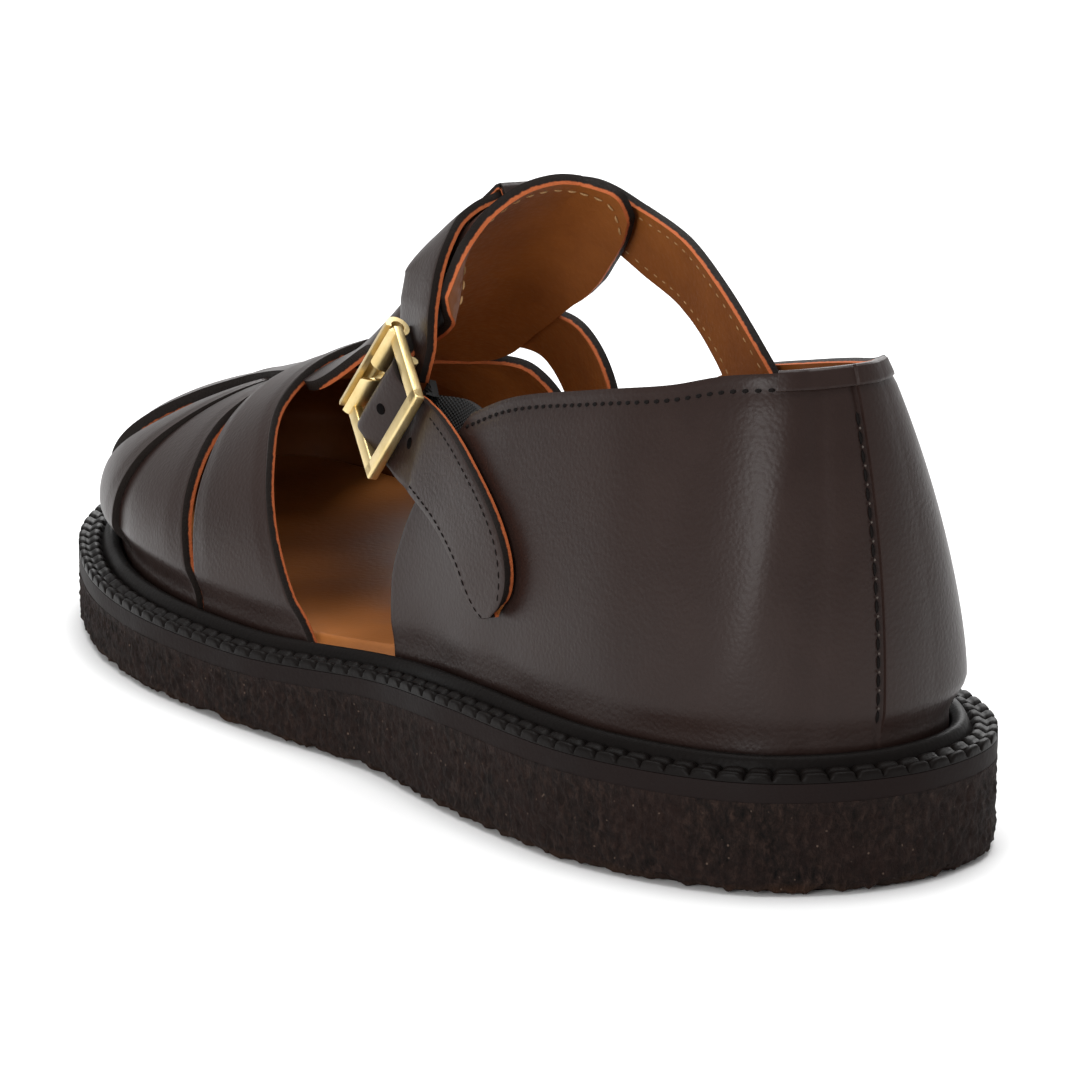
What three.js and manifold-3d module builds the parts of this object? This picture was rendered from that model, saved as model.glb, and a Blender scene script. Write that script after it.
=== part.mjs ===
import * as THREE from "three";
import ManifoldModule from "manifold-3d";

// Driving sizes in millimetres
const TOE_SWING_DEG = 6.6;
const WALL = 2.0;
const FIT_GAP = 0.3;
const LAYER_GAP = 0.2;
const FEATHER_INSET = 7.9;
const SEAT_HEIGHT_HEEL = 19.6;
const SEAT_HEIGHT_BALL = 14.0;
const WEDGE_START_X = 71;
const WEDGE_END_X = 154;
const TOE_SPRING = 3.5;
const SPRING_START_X = 185;
const SPRING_LENGTH = 83;
const MIDSOLE_THICKNESS = 3.0;
const WELT_FOOT = 0.7;
const WELT_WIDTH = FEATHER_INSET - FIT_GAP;
const WELT_RIBS = 136;
const RIB_DEPTH = 0.8;
const RIB_HEIGHT = 0.5;
const BEAD_CREST = 2.2;
const INSOLE_TOP = 2.4;
const INSOLE_INSET = FEATHER_INSET + WALL + 3 * FIT_GAP;
const SEAM_STEP = 0.6;
const SEAM_LAP = 10;
const TAB_HALF_WIDTH = 12;
const TAB_STEP = 0.8;
const STRAP_WIDTH = 15.0;
const STRAP_THICKNESS = 1.8;
const ELASTIC_WIDTH = 14;
const ELASTIC_THICKNESS = 1.2;
const BUCKLE_WIDTH = 20.0;
const BUCKLE_LENGTH = 19.0;
const BUCKLE_BAR = 2.0;
const BUCKLE_STOCK = 1.6;
const BUCKLE_LIFT = 4.2;
const CURL_RADIUS = 2.2;
const CURL_BORE = 1.2;
const CENTRE_BAR_RADIUS = 0.9;
const KEEPER_WIDTH = 6.0;
const KEEPER_THICKNESS = 1.0;

// Plan of the sole, from the back of the heel round the outer side to the toe and back
const SOLE_PLAN = [
  { x: 1.1, y: 0.0 },
  { x: 9.7, y: 23.5 },
  { x: 37.5, y: 37.6 },
  { x: 75.0, y: 39.0 },
  { x: 110.0, y: 35.8 },
  { x: 144.9, y: 39.3 },
  { x: 179.9, y: 39.2 },
  { x: 211.3, y: 31.7 },
  { x: 239.7, y: 16.2 },
  { x: 258.5, y: -6.4 },
  { x: 267.8, y: -30.9 },
  { x: 261.0, y: -49.5 },
  { x: 240.0, y: -58.4 },
  { x: 200.0, y: -58.5 },
  { x: 160.0, y: -49.2 },
  { x: 114.9, y: -35.7 },
  { x: 75.0, y: -33.8 },
  { x: 37.6, y: -36.7 },
  { x: 9.8, y: -23.3 },
];

// Sections of the last: ridge of the cone over each station, and how its side swells
const LAST = [
  { x: 8.9, ridgeX: 42, ridgeY: 0, ridgeZ: 113, rise: 0.4, swell: 5, crown: 0.54 },
  { x: 40, ridgeX: 52, ridgeY: -1, ridgeZ: 113, rise: 0.4, swell: 3, crown: 0.535 },
  { x: 80, ridgeX: 84, ridgeY: -4, ridgeZ: 108, rise: 0.4, swell: 3, crown: 0.56 },
  { x: 110, ridgeX: 110, ridgeY: -8, ridgeZ: 96, rise: 0.42, swell: 3, crown: 0.58 },
  { x: 135, ridgeX: 135, ridgeY: -11, ridgeZ: 79, rise: 0.45, swell: 4, crown: 0.62 },
  { x: 160, ridgeX: 160, ridgeY: -14, ridgeZ: 64.5, rise: 0.5, swell: 5, crown: 0.66 },
  { x: 185, ridgeX: 184, ridgeY: -17, ridgeZ: 54.3, rise: 0.52, swell: 7, crown: 0.68 },
  { x: 210, ridgeX: 206, ridgeY: -20, ridgeZ: 47.6, rise: 0.55, swell: 10, crown: 0.71 },
  { x: 235, ridgeX: 222, ridgeY: -23, ridgeZ: 43.6, rise: 0.58, swell: 12.5, crown: 0.72 },
  { x: 252, ridgeX: 231, ridgeY: -25, ridgeZ: 41.9, rise: 0.6, swell: 13, crown: 0.7 },
  { x: 260.2, ridgeX: 236, ridgeY: -26.5, ridgeZ: 40.8, rise: 0.62, swell: 13, crown: 0.68 },
];

// Cross straps: stations of the front and rear edge at each height between feather (0) and ridge (1)
const STRAPS = {
  front: [
    { v: 0.0, rear: 206, front: 244, rearInner: 188, frontInner: 244, liftRear: 1.1, liftFront: -0.25 },
    { v: 0.2, rear: 208, front: 240, rearInner: 190, frontInner: 240, liftRear: 1.1, liftFront: -0.25 },
    { v: 0.4, rear: 206.5, front: 231, rearInner: 190, frontInner: 231, liftRear: 1.1, liftFront: -0.25 },
    { v: 0.6, rear: 204.5, front: 221, rearInner: 194, frontInner: 221, liftRear: 0.7, liftFront: -0.25 },
    { v: 0.8, rear: 204, front: 217, rearInner: 200, frontInner: 217, liftRear: 0.3, liftFront: -0.35 },
    { v: 1.0, rear: 205, front: 216, rearInner: 205, frontInner: 216, liftRear: -0.2, liftFront: -0.4 },
  ],
  middle: [
    { v: 0.0, rear: 170, front: 212, rearInner: 158, frontInner: 195, liftRear: 0, liftFront: 0 },
    { v: 0.2, rear: 176, front: 214, rearInner: 156, frontInner: 197, liftRear: 0, liftFront: 0 },
    { v: 0.4, rear: 182, front: 212, rearInner: 155, frontInner: 197, liftRear: 0, liftFront: 0 },
    { v: 0.6, rear: 190, front: 209.5, rearInner: 161, frontInner: 200, liftRear: 0, liftFront: -0.1 },
    { v: 0.8, rear: 196, front: 208, rearInner: 182, frontInner: 204, liftRear: -0.1, liftFront: -0.2 },
    { v: 1.0, rear: 199, front: 208, rearInner: 199, frontInner: 208, liftRear: -0.2, liftFront: -0.4 },
  ],
  back: [
    { v: 0.0, rear: 134, front: 168, rearInner: 126, frontInner: 153, liftRear: 0.1, liftFront: 0.1 },
    { v: 0.2, rear: 146, front: 172, rearInner: 125.5, frontInner: 151, liftRear: 0.1, liftFront: 0.1 },
    { v: 0.4, rear: 156, front: 177, rearInner: 126, frontInner: 149.5, liftRear: 0.1, liftFront: 0.1 },
    { v: 0.6, rear: 166, front: 184, rearInner: 133.5, frontInner: 153, liftRear: 1.1, liftFront: 0.8 },
    { v: 0.8, rear: 172, front: 190, rearInner: 152, frontInner: 174, liftRear: 1.7, liftFront: 1.7 },
    { v: 1.0, rear: 175, front: 193, rearInner: 175, frontInner: 193, liftRear: 1.75, liftFront: 1.8 },
  ],
};

// Tongue, centre strip and toe cap in one: height of its outer and inner side edge at each station,
// its lift, and how far the outer half of the tongue stands off the foot
const CENTRE = [
  { x: 107, outer: 0.605, inner: 0.74, lift: 0, flare: 5.5 },
  { x: 109, outer: 0.585, inner: 0.7, lift: 0, flare: 5.5 },
  { x: 113, outer: 0.572, inner: 0.672, lift: 0, flare: 5.5 },
  { x: 118, outer: 0.57, inner: 0.658, lift: 0, flare: 5.5 },
  { x: 124, outer: 0.577, inner: 0.66, lift: 0, flare: 5.2 },
  { x: 131, outer: 0.595, inner: 0.675, lift: 0, flare: 4 },
  { x: 141, outer: 0.635, inner: 0.69, lift: 0, flare: 2 },
  { x: 150, outer: 0.665, inner: 0.7, lift: 0, flare: 0.7 },
  { x: 160, outer: 0.65, inner: 0.7, lift: 0, flare: 0 },
  { x: 168, outer: 0.68, inner: 0.71, lift: 0, flare: 0 },
  { x: 176, outer: 0.75, inner: 0.75, lift: 0, flare: 0 },
  { x: 186, outer: 0.8, inner: 0.8, lift: 0.2, flare: 0 },
  { x: 195, outer: 0.81, inner: 0.81, lift: 0.9, flare: 0 },
  { x: 204, outer: 0.81, inner: 0.81, lift: 1.3, flare: 0 },
  { x: 213, outer: 0.8, inner: 0.8, lift: 1.3, flare: 0 },
  { x: 220, outer: 0.77, inner: 0.77, lift: 1.1, flare: 0 },
  { x: 226, outer: 0.71, inner: 0.71, lift: 0.9, flare: 0 },
  { x: 231, outer: 0.6, inner: 0.6, lift: 0.6, flare: 0 },
  { x: 235, outer: 0.43, inner: 0.43, lift: 0.5, flare: 0 },
  { x: 238, outer: 0.26, inner: 0.26, lift: 0.5, flare: 0 },
  { x: 240.2, outer: 0.13, inner: 0.13, lift: 0.4, flare: 0 },
  { x: 241.5, outer: 0.06, inner: 0.06, lift: 0.3, flare: 0 },
  { x: 242, outer: 0, inner: 0, lift: 0.3, flare: 0 },
  { x: 247, outer: 0, inner: 0, lift: 0.2, flare: 0 },
  { x: 252, outer: 0, inner: 0, lift: 0.1, flare: 0 },
  { x: 256, outer: 0, inner: 0, lift: 0, flare: 0 },
  { x: 259, outer: 0, inner: 0, lift: 0, flare: 0 },
];

// Rim of the tongue: how far its end lies behind or before its first station, from inner (-) to outer (+) side
const RIM_END_X = 131;
const RIM = [
  { side: -0.36, shift: 6 },
  { side: -0.3, shift: -1.5 },
  { side: -0.25, shift: -4.4 },
  { side: -0.2, shift: -4.8 },
  { side: -0.1, shift: -2 },
  { side: 0.0, shift: 0.6 },
  { side: 0.15, shift: 1.3 },
  { side: 0.25, shift: 4.2 },
  { side: 0.43, shift: 5 },
];

// Quarter: top line along the stations, and its front edge at each share of the height
const HEEL_LEAN = { slope: 0.125, level: 52, reach: 22, from: 30, to: 90 };
const TOPLINE = [
  { x: 8.9, v: 0.514 },
  { x: 20, v: 0.504 },
  { x: 34, v: 0.478 },
  { x: 56, v: 0.449 },
  { x: 76, v: 0.427 },
  { x: 93, v: 0.397 },
  { x: 115, v: 0.366 },
];
const QUARTER_FRONT = [
  { b: 0.0, x: 111 },
  { b: 0.4, x: 112 },
  { b: 0.62, x: 109.5 },
  { b: 0.8, x: 104.5 },
  { b: 0.92, x: 99 },
  { b: 1.0, x: 92 },
];

// Middle line of the ankle strap over the last: side +1 outer, -1 inner
const STRAP_PATH = [
  { side: -1, x: 65, v: 0.28, off: -3.8 },
  { side: -1, x: 67.5, v: 0.36, off: -3.8 },
  { side: -1, x: 71.5, v: 0.43, off: -3.8 },
  { side: -1, x: 80, v: 0.5, off: -2.1 },
  { side: -1, x: 92.5, v: 0.58, off: 0.6 },
  { side: -1, x: 105, v: 0.67, off: 2.0 },
  { side: -1, x: 114, v: 0.8, off: 2.1 },
  { side: -1, x: 120, v: 0.91, off: 2.4 },
  { side: 1, x: 124, v: 0.97, off: 3.0 },
  { side: 1, x: 123, v: 0.85, off: 5.7 },
  { side: 1, x: 121.3, v: 0.76, off: 6.9 },
  { side: 1, x: 119, v: 0.69, off: 6.8 },
  { side: 1, x: 118.6, v: 0.62, off: 4.8 },
  { side: 1, x: 119.3, v: 0.555, off: 1.75 },
  { side: 1, x: 120.2, v: 0.505, off: 0.7 },
];

// Its tail, threaded through the buckle and laid down the quarter
const TAIL_PATH = [
  { along: -10.5, lift: -3.6 },
  { along: -5.4, lift: -3.3 },
  { along: 0, lift: 0.9 },
  { along: 8.4, lift: -3.0 },
  { side: 1, x: 102.4, v: 0.34, off: 2.1 },
  { side: 1, x: 90, v: 0.285, off: 1.8 },
  { side: 1, x: 76.5, v: 0.205, off: 1.8 },
  { side: 1, x: 71.5, v: 0.13, off: 1.8 },
];
const TAIL_ROUND = 0.12;
const BUCKLE_SEAT = { side: 1, x: 121.5, v: 0.435, aimX: 111, aimV: 0.332, slide: 1.2, shift: 3.4 };
const BUCKLE_TURN_DEG = { along: 9.7, across: 3.0, out: -2.5 };
const KEEPER_SEAT = { row: 8.6 };
const ELASTIC_PATH = [
  { along: 1.4, lift: -5.8 },
  { along: 7, lift: -5.8 },
  { side: 1, x: 104, v: 0.37, off: -3.9 },
  { side: 1, x: 95, v: 0.342, off: -4.0 },
  { side: 1, x: 85, v: 0.315, off: -3.8 },
];

// Smooth reading of one column of a table, without overshoot
function read(rows, key, column, at) {
  const last = rows.length - 1;
  if (at <= rows[0][key]) return rows[0][column];
  if (at >= rows[last][key]) return rows[last][column];
  let i = 0;
  while (at > rows[i + 1][key]) i += 1;
  const step = (k) => rows[k + 1][key] - rows[k][key];
  const rate = (k) => (rows[k + 1][column] - rows[k][column]) / step(k);
  const slope = (k) => {
    if (k === 0) return rate(0);
    if (k === last) return rate(last - 1);
    const before = rate(k - 1);
    const after = rate(k);
    if (before * after <= 0) return 0;
    const w1 = 2 * step(k) + step(k - 1);
    const w2 = step(k) + 2 * step(k - 1);
    return (w1 + w2) / (w1 / before + w2 / after);
  };
  const h = step(i);
  const t = (at - rows[i][key]) / h;
  const a = rows[i][column];
  const b = rows[i + 1][column];
  const t2 = t * t;
  const t3 = t2 * t;
  const ends = a * (2 * t3 - 3 * t2 + 1) + b * (3 * t2 - 2 * t3);
  return ends + h * (slope(i) * (t3 - 2 * t2 + t) + slope(i + 1) * (t3 - t2));
}

function ease(at, from, to) {
  const t = Math.min(1, Math.max(0, (at - from) / (to - from)));
  return t * t * (3 - 2 * t);
}

// Heights along the sole
function springAt(x) {
  const t = Math.max(0, (x - SPRING_START_X) / SPRING_LENGTH);
  return TOE_SPRING * t * t;
}

function seatAt(x) {
  const drop = (SEAT_HEIGHT_HEEL - SEAT_HEIGHT_BALL) * ease(x, WEDGE_START_X, WEDGE_END_X);
  return SEAT_HEIGHT_HEEL - drop + springAt(x);
}

function treadAt(x) {
  return springAt(x);
}

// Closed plan curve in even steps, with its outward normal
const PLAN_STEPS = 1440;
const planCurve = new THREE.CatmullRomCurve3(
  SOLE_PLAN.map((p) => new THREE.Vector3(p.x, p.y, 0)),
  true,
  "centripetal",
);
planCurve.arcLengthDivisions = 4000;
const planPoints = planCurve.getSpacedPoints(PLAN_STEPS).slice(0, PLAN_STEPS);

function insetLoop(inset) {
  const loop = [];
  for (let i = 0; i < PLAN_STEPS; i += 1) {
    const before = planPoints[(i + PLAN_STEPS - 1) % PLAN_STEPS];
    const after = planPoints[(i + 1) % PLAN_STEPS];
    const normal = new THREE.Vector2(before.y - after.y, after.x - before.x).normalize();
    const here = planPoints[i];
    loop.push({
      x: here.x - normal.x * inset,
      y: here.y - normal.y * inset,
      nx: normal.x,
      ny: normal.y,
    });
  }
  return loop;
}

function loopEnds(loop) {
  let back = 0;
  let tip = 0;
  for (let i = 0; i < loop.length; i += 1) {
    if (loop[i].x < loop[back].x) back = i;
    if (loop[i].x > loop[tip].x) tip = i;
  }
  return { back, tip };
}

function loopAt(loop, u) {
  const n = loop.length;
  const w = ((u % n) + n) % n;
  const i = Math.floor(w);
  const f = w - i;
  const a = loop[i % n];
  const b = loop[(i + 1) % n];
  const mix = (p, q) => p + (q - p) * f;
  return { x: mix(a.x, b.x), y: mix(a.y, b.y), nx: mix(a.nx, b.nx), ny: mix(a.ny, b.ny) };
}

// Place on a loop, by side and station
function loopPlace(loop, ends, side, x) {
  const n = loop.length;
  const span = side > 0 ? (ends.tip - ends.back + n) % n : (ends.back - ends.tip + n) % n;
  const at = (k) => loop[(ends.back + side * k + 2 * n) % n].x;
  if (x <= at(0)) return ends.back;
  if (x >= at(span)) return ends.tip;
  let low = 0;
  let high = span;
  while (high - low > 1) {
    const middle = (low + high) >> 1;
    if (at(middle) <= x) low = middle;
    else high = middle;
  }
  return ends.back + side * (low + (x - at(low)) / (at(high) - at(low)));
}

const feather = insetLoop(FEATHER_INSET);
const featherEnds = loopEnds(feather);
const HEEL_X = feather[featherEnds.back].x;
const TIP_X = feather[featherEnds.tip].x;

// Surface of the last: one curve from the feather up to the ridge at each place round the plan
function lastPoint(u, v) {
  const f = loopAt(feather, u);
  const of = (column) => read(LAST, "x", column, f.x);
  const ridge = new THREE.Vector3(of("ridgeX"), of("ridgeY"), of("ridgeZ"));
  const foot = new THREE.Vector3(f.x, f.y, seatAt(f.x) - 0.4);
  const swell = of("swell");
  const rise = of("rise") * (ridge.z - foot.z);
  const crown = of("crown");
  const lower = new THREE.Vector3(f.x, f.y, foot.z + rise);
  const upper = foot.clone().sub(ridge).multiplyScalar(crown).add(ridge);
  const fall = read(LAST, "ridgeX", "ridgeZ", ridge.x + 1) - read(LAST, "ridgeX", "ridgeZ", ridge.x - 1);
  const share = Math.min(1, Math.max(0, (f.x - 200) / 40));
  const slope = Math.max(-0.45, Math.min(0.2, fall / 2)) * share;
  upper.z = ridge.z + slope * (upper.x - ridge.x);
  const w = 1 - v;
  const point = foot
    .multiplyScalar(w * w * w)
    .addScaledVector(lower, 3 * w * w * v)
    .addScaledVector(upper, 3 * w * v * v)
    .addScaledVector(ridge, v * v * v);
  const out = 3 * w * w * v * swell * clearOfWelt(f.x, point.z);
  point.x += f.nx * out;
  point.y += f.ny * out;
  point.y += innerHeelLean(f, point.z);
  return point;
}

// Inner side of the heel: fuller just over the welt and drawn in towards the collar
function innerHeelLean(f, z) {
  const share = ease(-f.y, 0, HEEL_LEAN.reach) * (1 - ease(f.x, HEEL_LEAN.from, HEEL_LEAN.to));
  const free = ease(z - seatAt(f.x), BEAD_CREST + 0.7, BEAD_CREST + 7);
  return HEEL_LEAN.slope * (z - HEEL_LEAN.level) * share * free;
}

// Share of freedom to stand out over the welt: none beside the bead, full above it
function clearOfWelt(x, z) {
  return ease(z - seatAt(x), BEAD_CREST + 0.7, BEAD_CREST + 6);
}

function lastNormal(u, v) {
  const du = 1.5;
  const dv = 0.004;
  const v0 = Math.min(v, 1 - dv);
  const along = lastPoint(u + du, v0).sub(lastPoint(u - du, v0));
  const up = lastPoint(u, v0 + dv).sub(lastPoint(u, v0 - dv));
  return up.cross(along).normalize();
}

function onLast(side, x, v, off) {
  const u = loopPlace(feather, featherEnds, side, x);
  const normal = lastNormal(u, v);
  if (v > 0.98) {
    const other = lastNormal(loopPlace(feather, featherEnds, -side, x), v);
    normal.add(other).normalize();
  }
  const point = lastPoint(u, v);
  const free = off > 0 ? clearOfWelt(x, point.z) : 1;
  return point.addScaledVector(normal, off * free);
}

function normalAt(side, x, v) {
  return lastNormal(loopPlace(feather, featherEnds, side, x), Math.min(v, 0.97));
}

// Closed body from vertices and triangles, welded and facing out
function body(points, faces) {
  const index = new Map();
  const unique = [];
  const remap = points.map((p) => {
    const name = `${Math.round(p.x * 1e4)},${Math.round(p.y * 1e4)},${Math.round(p.z * 1e4)}`;
    if (!index.has(name)) {
      index.set(name, unique.length);
      unique.push(p);
    }
    return index.get(name);
  });
  const kept = [];
  let volume = 0;
  for (const [a, b, c] of faces) {
    const t = [remap[a], remap[b], remap[c]];
    if (t[0] === t[1] || t[1] === t[2] || t[2] === t[0]) continue;
    kept.push(t);
    volume += unique[t[0]].dot(unique[t[1]].clone().cross(unique[t[2]]));
  }
  if (volume < 0) kept.forEach((t) => t.reverse());
  return { points: unique, faces: kept };
}

// Sheet with a wall: an outer and an inner grid, closed along its free edges
function sheet(rows, columns, at, closed = {}) {
  const points = [];
  const faces = [];
  const id = (layer, i, j) => (layer * (rows + 1) + i) * (columns + 1) + j;
  for (let layer = 0; layer < 2; layer += 1) {
    for (let i = 0; i <= rows; i += 1) {
      for (let j = 0; j <= columns; j += 1) points.push(at(i, j, layer));
    }
  }
  const quad = (a, b, c, d) => faces.push([a, b, c], [a, c, d]);
  for (let i = 0; i < rows; i += 1) {
    for (let j = 0; j < columns; j += 1) {
      quad(id(0, i, j), id(0, i + 1, j), id(0, i + 1, j + 1), id(0, i, j + 1));
      quad(id(1, i, j), id(1, i, j + 1), id(1, i + 1, j + 1), id(1, i + 1, j));
    }
    quad(id(0, i, 0), id(1, i, 0), id(1, i + 1, 0), id(0, i + 1, 0));
    quad(id(0, i, columns), id(0, i + 1, columns), id(1, i + 1, columns), id(1, i, columns));
  }
  for (let j = 0; j < columns; j += 1) {
    quad(id(0, 0, j), id(0, 0, j + 1), id(1, 0, j + 1), id(1, 0, j));
    if (!closed.end) quad(id(0, rows, j), id(1, rows, j), id(1, rows, j + 1), id(0, rows, j + 1));
  }
  return body(points, faces);
}

// Ring swept round the plan from a closed profile of inset and height
function sweptRing(steps, profileAt) {
  const points = [];
  const faces = [];
  let size = 0;
  for (let i = 0; i < steps; i += 1) {
    const place = loopAt(planLoop, (i * PLAN_STEPS) / steps);
    const profile = profileAt(i, place);
    size = profile.length;
    for (const p of profile) {
      points.push(new THREE.Vector3(place.x - place.nx * p.inset, place.y - place.ny * p.inset, p.z));
    }
  }
  for (let i = 0; i < steps; i += 1) {
    const next = (i + 1) % steps;
    for (let k = 0; k < size; k += 1) {
      const m = (k + 1) % size;
      faces.push([i * size + k, next * size + k, next * size + m]);
      faces.push([i * size + k, next * size + m, i * size + m]);
    }
  }
  return body(points, faces);
}

// Slab of the plan's shape: rings of one inset and height each, closed top and bottom
function slab(stations, rings) {
  const points = [];
  const faces = [];
  const count = 2 * stations;
  for (const ring of rings) {
    const loop = insetLoop(ring.inset);
    const ends = loopEnds(loop);
    const back = loop[ends.back].x;
    const tip = loop[ends.tip].x;
    for (let i = 0; i < count; i += 1) {
      const side = i <= stations ? 1 : -1;
      const k = side > 0 ? i : count - i;
      const x = back + ((tip - back) * (1 - Math.cos((Math.PI * k) / stations))) / 2;
      const p = loopAt(loop, loopPlace(loop, ends, side, x));
      points.push(new THREE.Vector3(p.x, p.y, ring.z(p.x)));
    }
  }
  for (let r = 0; r + 1 < rings.length; r += 1) {
    for (let i = 0; i < count; i += 1) {
      const a = r * count + i;
      const b = r * count + ((i + 1) % count);
      faces.push([a, b, b + count], [a, b + count, a + count]);
    }
  }
  const top = (rings.length - 1) * count;
  for (let k = 0; k < stations; k += 1) {
    const outer = [k, k + 1];
    const inner = [(count - k) % count, count - k - 1];
    faces.push([outer[0], inner[1], outer[1]], [outer[0], inner[0], inner[1]]);
    faces.push([top + outer[0], top + outer[1], top + inner[1]]);
    faces.push([top + outer[0], top + inner[1], top + inner[0]]);
  }
  return body(points, faces);
}

// Frame of the buckle on the outer side of the instep
const buckleOut = normalAt(BUCKLE_SEAT.side, BUCKLE_SEAT.x, BUCKLE_SEAT.v);
const buckleCentre = onLast(BUCKLE_SEAT.side, BUCKLE_SEAT.x, BUCKLE_SEAT.v, BUCKLE_LIFT);
const buckleAlong = onLast(BUCKLE_SEAT.side, BUCKLE_SEAT.aimX, BUCKLE_SEAT.aimV, BUCKLE_LIFT);
buckleAlong.sub(buckleCentre);
buckleAlong.addScaledVector(buckleOut, -buckleAlong.dot(buckleOut)).normalize();
const buckleAcross = new THREE.Vector3().crossVectors(buckleOut, buckleAlong);
buckleCentre.addScaledVector(buckleAlong, BUCKLE_SEAT.slide).addScaledVector(buckleAcross, BUCKLE_SEAT.shift);
const buckleTurn = new THREE.Vector3()
  .addScaledVector(buckleAlong, BUCKLE_TURN_DEG.along)
  .addScaledVector(buckleAcross, BUCKLE_TURN_DEG.across)
  .addScaledVector(buckleOut, BUCKLE_TURN_DEG.out);
const buckleAngle = THREE.MathUtils.degToRad(buckleTurn.length());
buckleTurn.normalize();
[buckleAlong, buckleAcross, buckleOut].forEach((axis) => axis.applyAxisAngle(buckleTurn, buckleAngle));
const buckleBasis = new THREE.Matrix4()
  .makeBasis(buckleAlong, buckleAcross, buckleOut)
  .setPosition(buckleCentre);

function inBuckle(along, lift) {
  return new THREE.Vector3(along, 0, lift).applyMatrix4(buckleBasis);
}

// Band of one width and thickness along a line over the last
function band(path, rowsPer, width, thickness, columns, roundEnd) {
  const spots = path.map((p) => (p.side ? onLast(p.side, p.x, p.v, p.off) : inBuckle(p.along, p.lift)));
  const facing = path.map((p) => (p.side ? normalAt(p.side, p.x, p.v) : buckleOut));
  const line = new THREE.CatmullRomCurve3(spots, false, "centripetal");
  const lean = new THREE.CatmullRomCurve3(facing, false, "centripetal");
  const rows = rowsPer * (path.length - 1);
  const frameAt = (t) => {
    const centre = line.getPoint(t);
    const along = line.getTangent(t);
    const out = lean.getPoint(t);
    out.addScaledVector(along, -out.dot(along)).normalize();
    const across = new THREE.Vector3().crossVectors(out, along).normalize();
    return { centre, along, out, across };
  };
  const solid = sheet(rows, columns, (i, j, layer) => {
    const t = i / rows;
    const f = frameAt(t);
    let share = 1;
    if (roundEnd && t > 1 - roundEnd) {
      const k = (t - 1 + roundEnd) / roundEnd;
      share = Math.sqrt(Math.max(0.06, 1 - k * k * 0.94));
    }
    const w = (j / columns - 0.5) * width * share;
    const h = layer === 0 ? thickness / 2 : -thickness / 2;
    return f.centre.clone().addScaledVector(f.across, w).addScaledVector(f.out, h);
  });
  return { solid, frameAt };
}

const planLoop = insetLoop(0);

// Solid arithmetic
const wasm = await ManifoldModule();
wasm.setup();

function toManifold(solid) {
  const vertProperties = new Float32Array(solid.points.flatMap((p) => [p.x, p.y, p.z]));
  const triVerts = new Uint32Array(solid.faces.flat());
  return new wasm.Manifold(new wasm.Mesh({ numProp: 3, vertProperties, triVerts }));
}

function fromManifold(manifold) {
  const mesh = manifold.getMesh();
  const points = [];
  const faces = [];
  for (let i = 0; i < mesh.vertProperties.length; i += mesh.numProp) {
    const [x, y, z] = mesh.vertProperties.slice(i, i + 3);
    points.push(new THREE.Vector3(x, y, z));
  }
  for (let i = 0; i < mesh.triVerts.length; i += 3) {
    faces.push([mesh.triVerts[i], mesh.triVerts[i + 1], mesh.triVerts[i + 2]]);
  }
  return { points, faces: outerFaces(points, faces) };
}

// Only the outside of a body: small pockets shut in between laid straps are filled
function outerFaces(points, faces) {
  const root = points.map((_, i) => i);
  const find = (i) => {
    let k = i;
    while (root[k] !== k) {
      root[k] = root[root[k]];
      k = root[k];
    }
    return k;
  };
  for (const [a, b, c] of faces) {
    root[find(b)] = find(a);
    root[find(c)] = find(a);
  }
  const volume = new Map();
  for (const [a, b, c] of faces) {
    const part = points[a].dot(points[b].clone().cross(points[c]));
    volume.set(find(a), (volume.get(find(a)) ?? 0) + part);
  }
  return faces.filter(([a]) => volume.get(find(a)) > 0);
}

// Sole layers
const midsoleTop = (x) => seatAt(x) - WELT_FOOT - LAYER_GAP;
const midsoleFoot = (x) => midsoleTop(x) - MIDSOLE_THICKNESS;
const outsoleTop = (x) => midsoleFoot(x) - LAYER_GAP;
const outsole = slab(46, [
  { inset: 0.6, z: treadAt },
  { inset: 0.15, z: (x) => treadAt(x) + 0.9 },
  { inset: 0.0, z: outsoleTop },
]);
const midsole = slab(46, [
  { inset: 0.7, z: midsoleFoot },
  { inset: 0.5, z: midsoleTop },
]);
const insole = slab(40, [
  { inset: INSOLE_INSET, z: (x) => midsoleTop(x) + LAYER_GAP },
  { inset: INSOLE_INSET, z: (x) => seatAt(x) + INSOLE_TOP - 0.6 },
  { inset: INSOLE_INSET + 0.8, z: (x) => seatAt(x) + INSOLE_TOP },
]);

// Welt: ribbed flange with a scalloped edge and a rolled bead against the upper
const welt = sweptRing(2 * WELT_RIBS, (i, place) => {
  const seat = seatAt(place.x);
  const valley = i % 2;
  const edge = valley * RIB_DEPTH;
  const top = seat + 0.7 - valley * RIB_HEIGHT;
  return [
    { inset: edge, z: seat - WELT_FOOT },
    { inset: edge, z: top },
    { inset: 4.4, z: top + 0.1 },
    { inset: 5.7, z: seat + BEAD_CREST },
    { inset: WELT_WIDTH, z: seat + BEAD_CREST - 0.6 },
    { inset: WELT_WIDTH, z: seat - WELT_FOOT },
  ];
});

// Even steps after a short first one, which stays behind the bead of the welt
const FIRST_STEP = 0.06;
function shareAt(step, steps) {
  return step === 0 ? 0 : FIRST_STEP + ((1 - FIRST_STEP) * (step - 1)) / (steps - 1);
}

// Upper: lasting margin, quarter, cross straps, and the tongue, centre strip and toe cap
const margin = sweptRing(76, (i, place) => {
  const seat = seatAt(place.x);
  return [
    { inset: FEATHER_INSET + 0.12, z: seat - WELT_FOOT + 0.1 },
    { inset: FEATHER_INSET + 0.12, z: seat + BEAD_CREST - 0.7 },
    { inset: FEATHER_INSET + WALL - 0.1, z: seat + BEAD_CREST - 0.7 },
    { inset: FEATHER_INSET + WALL - 0.1, z: seat - WELT_FOOT + 0.1 },
  ];
});

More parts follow.
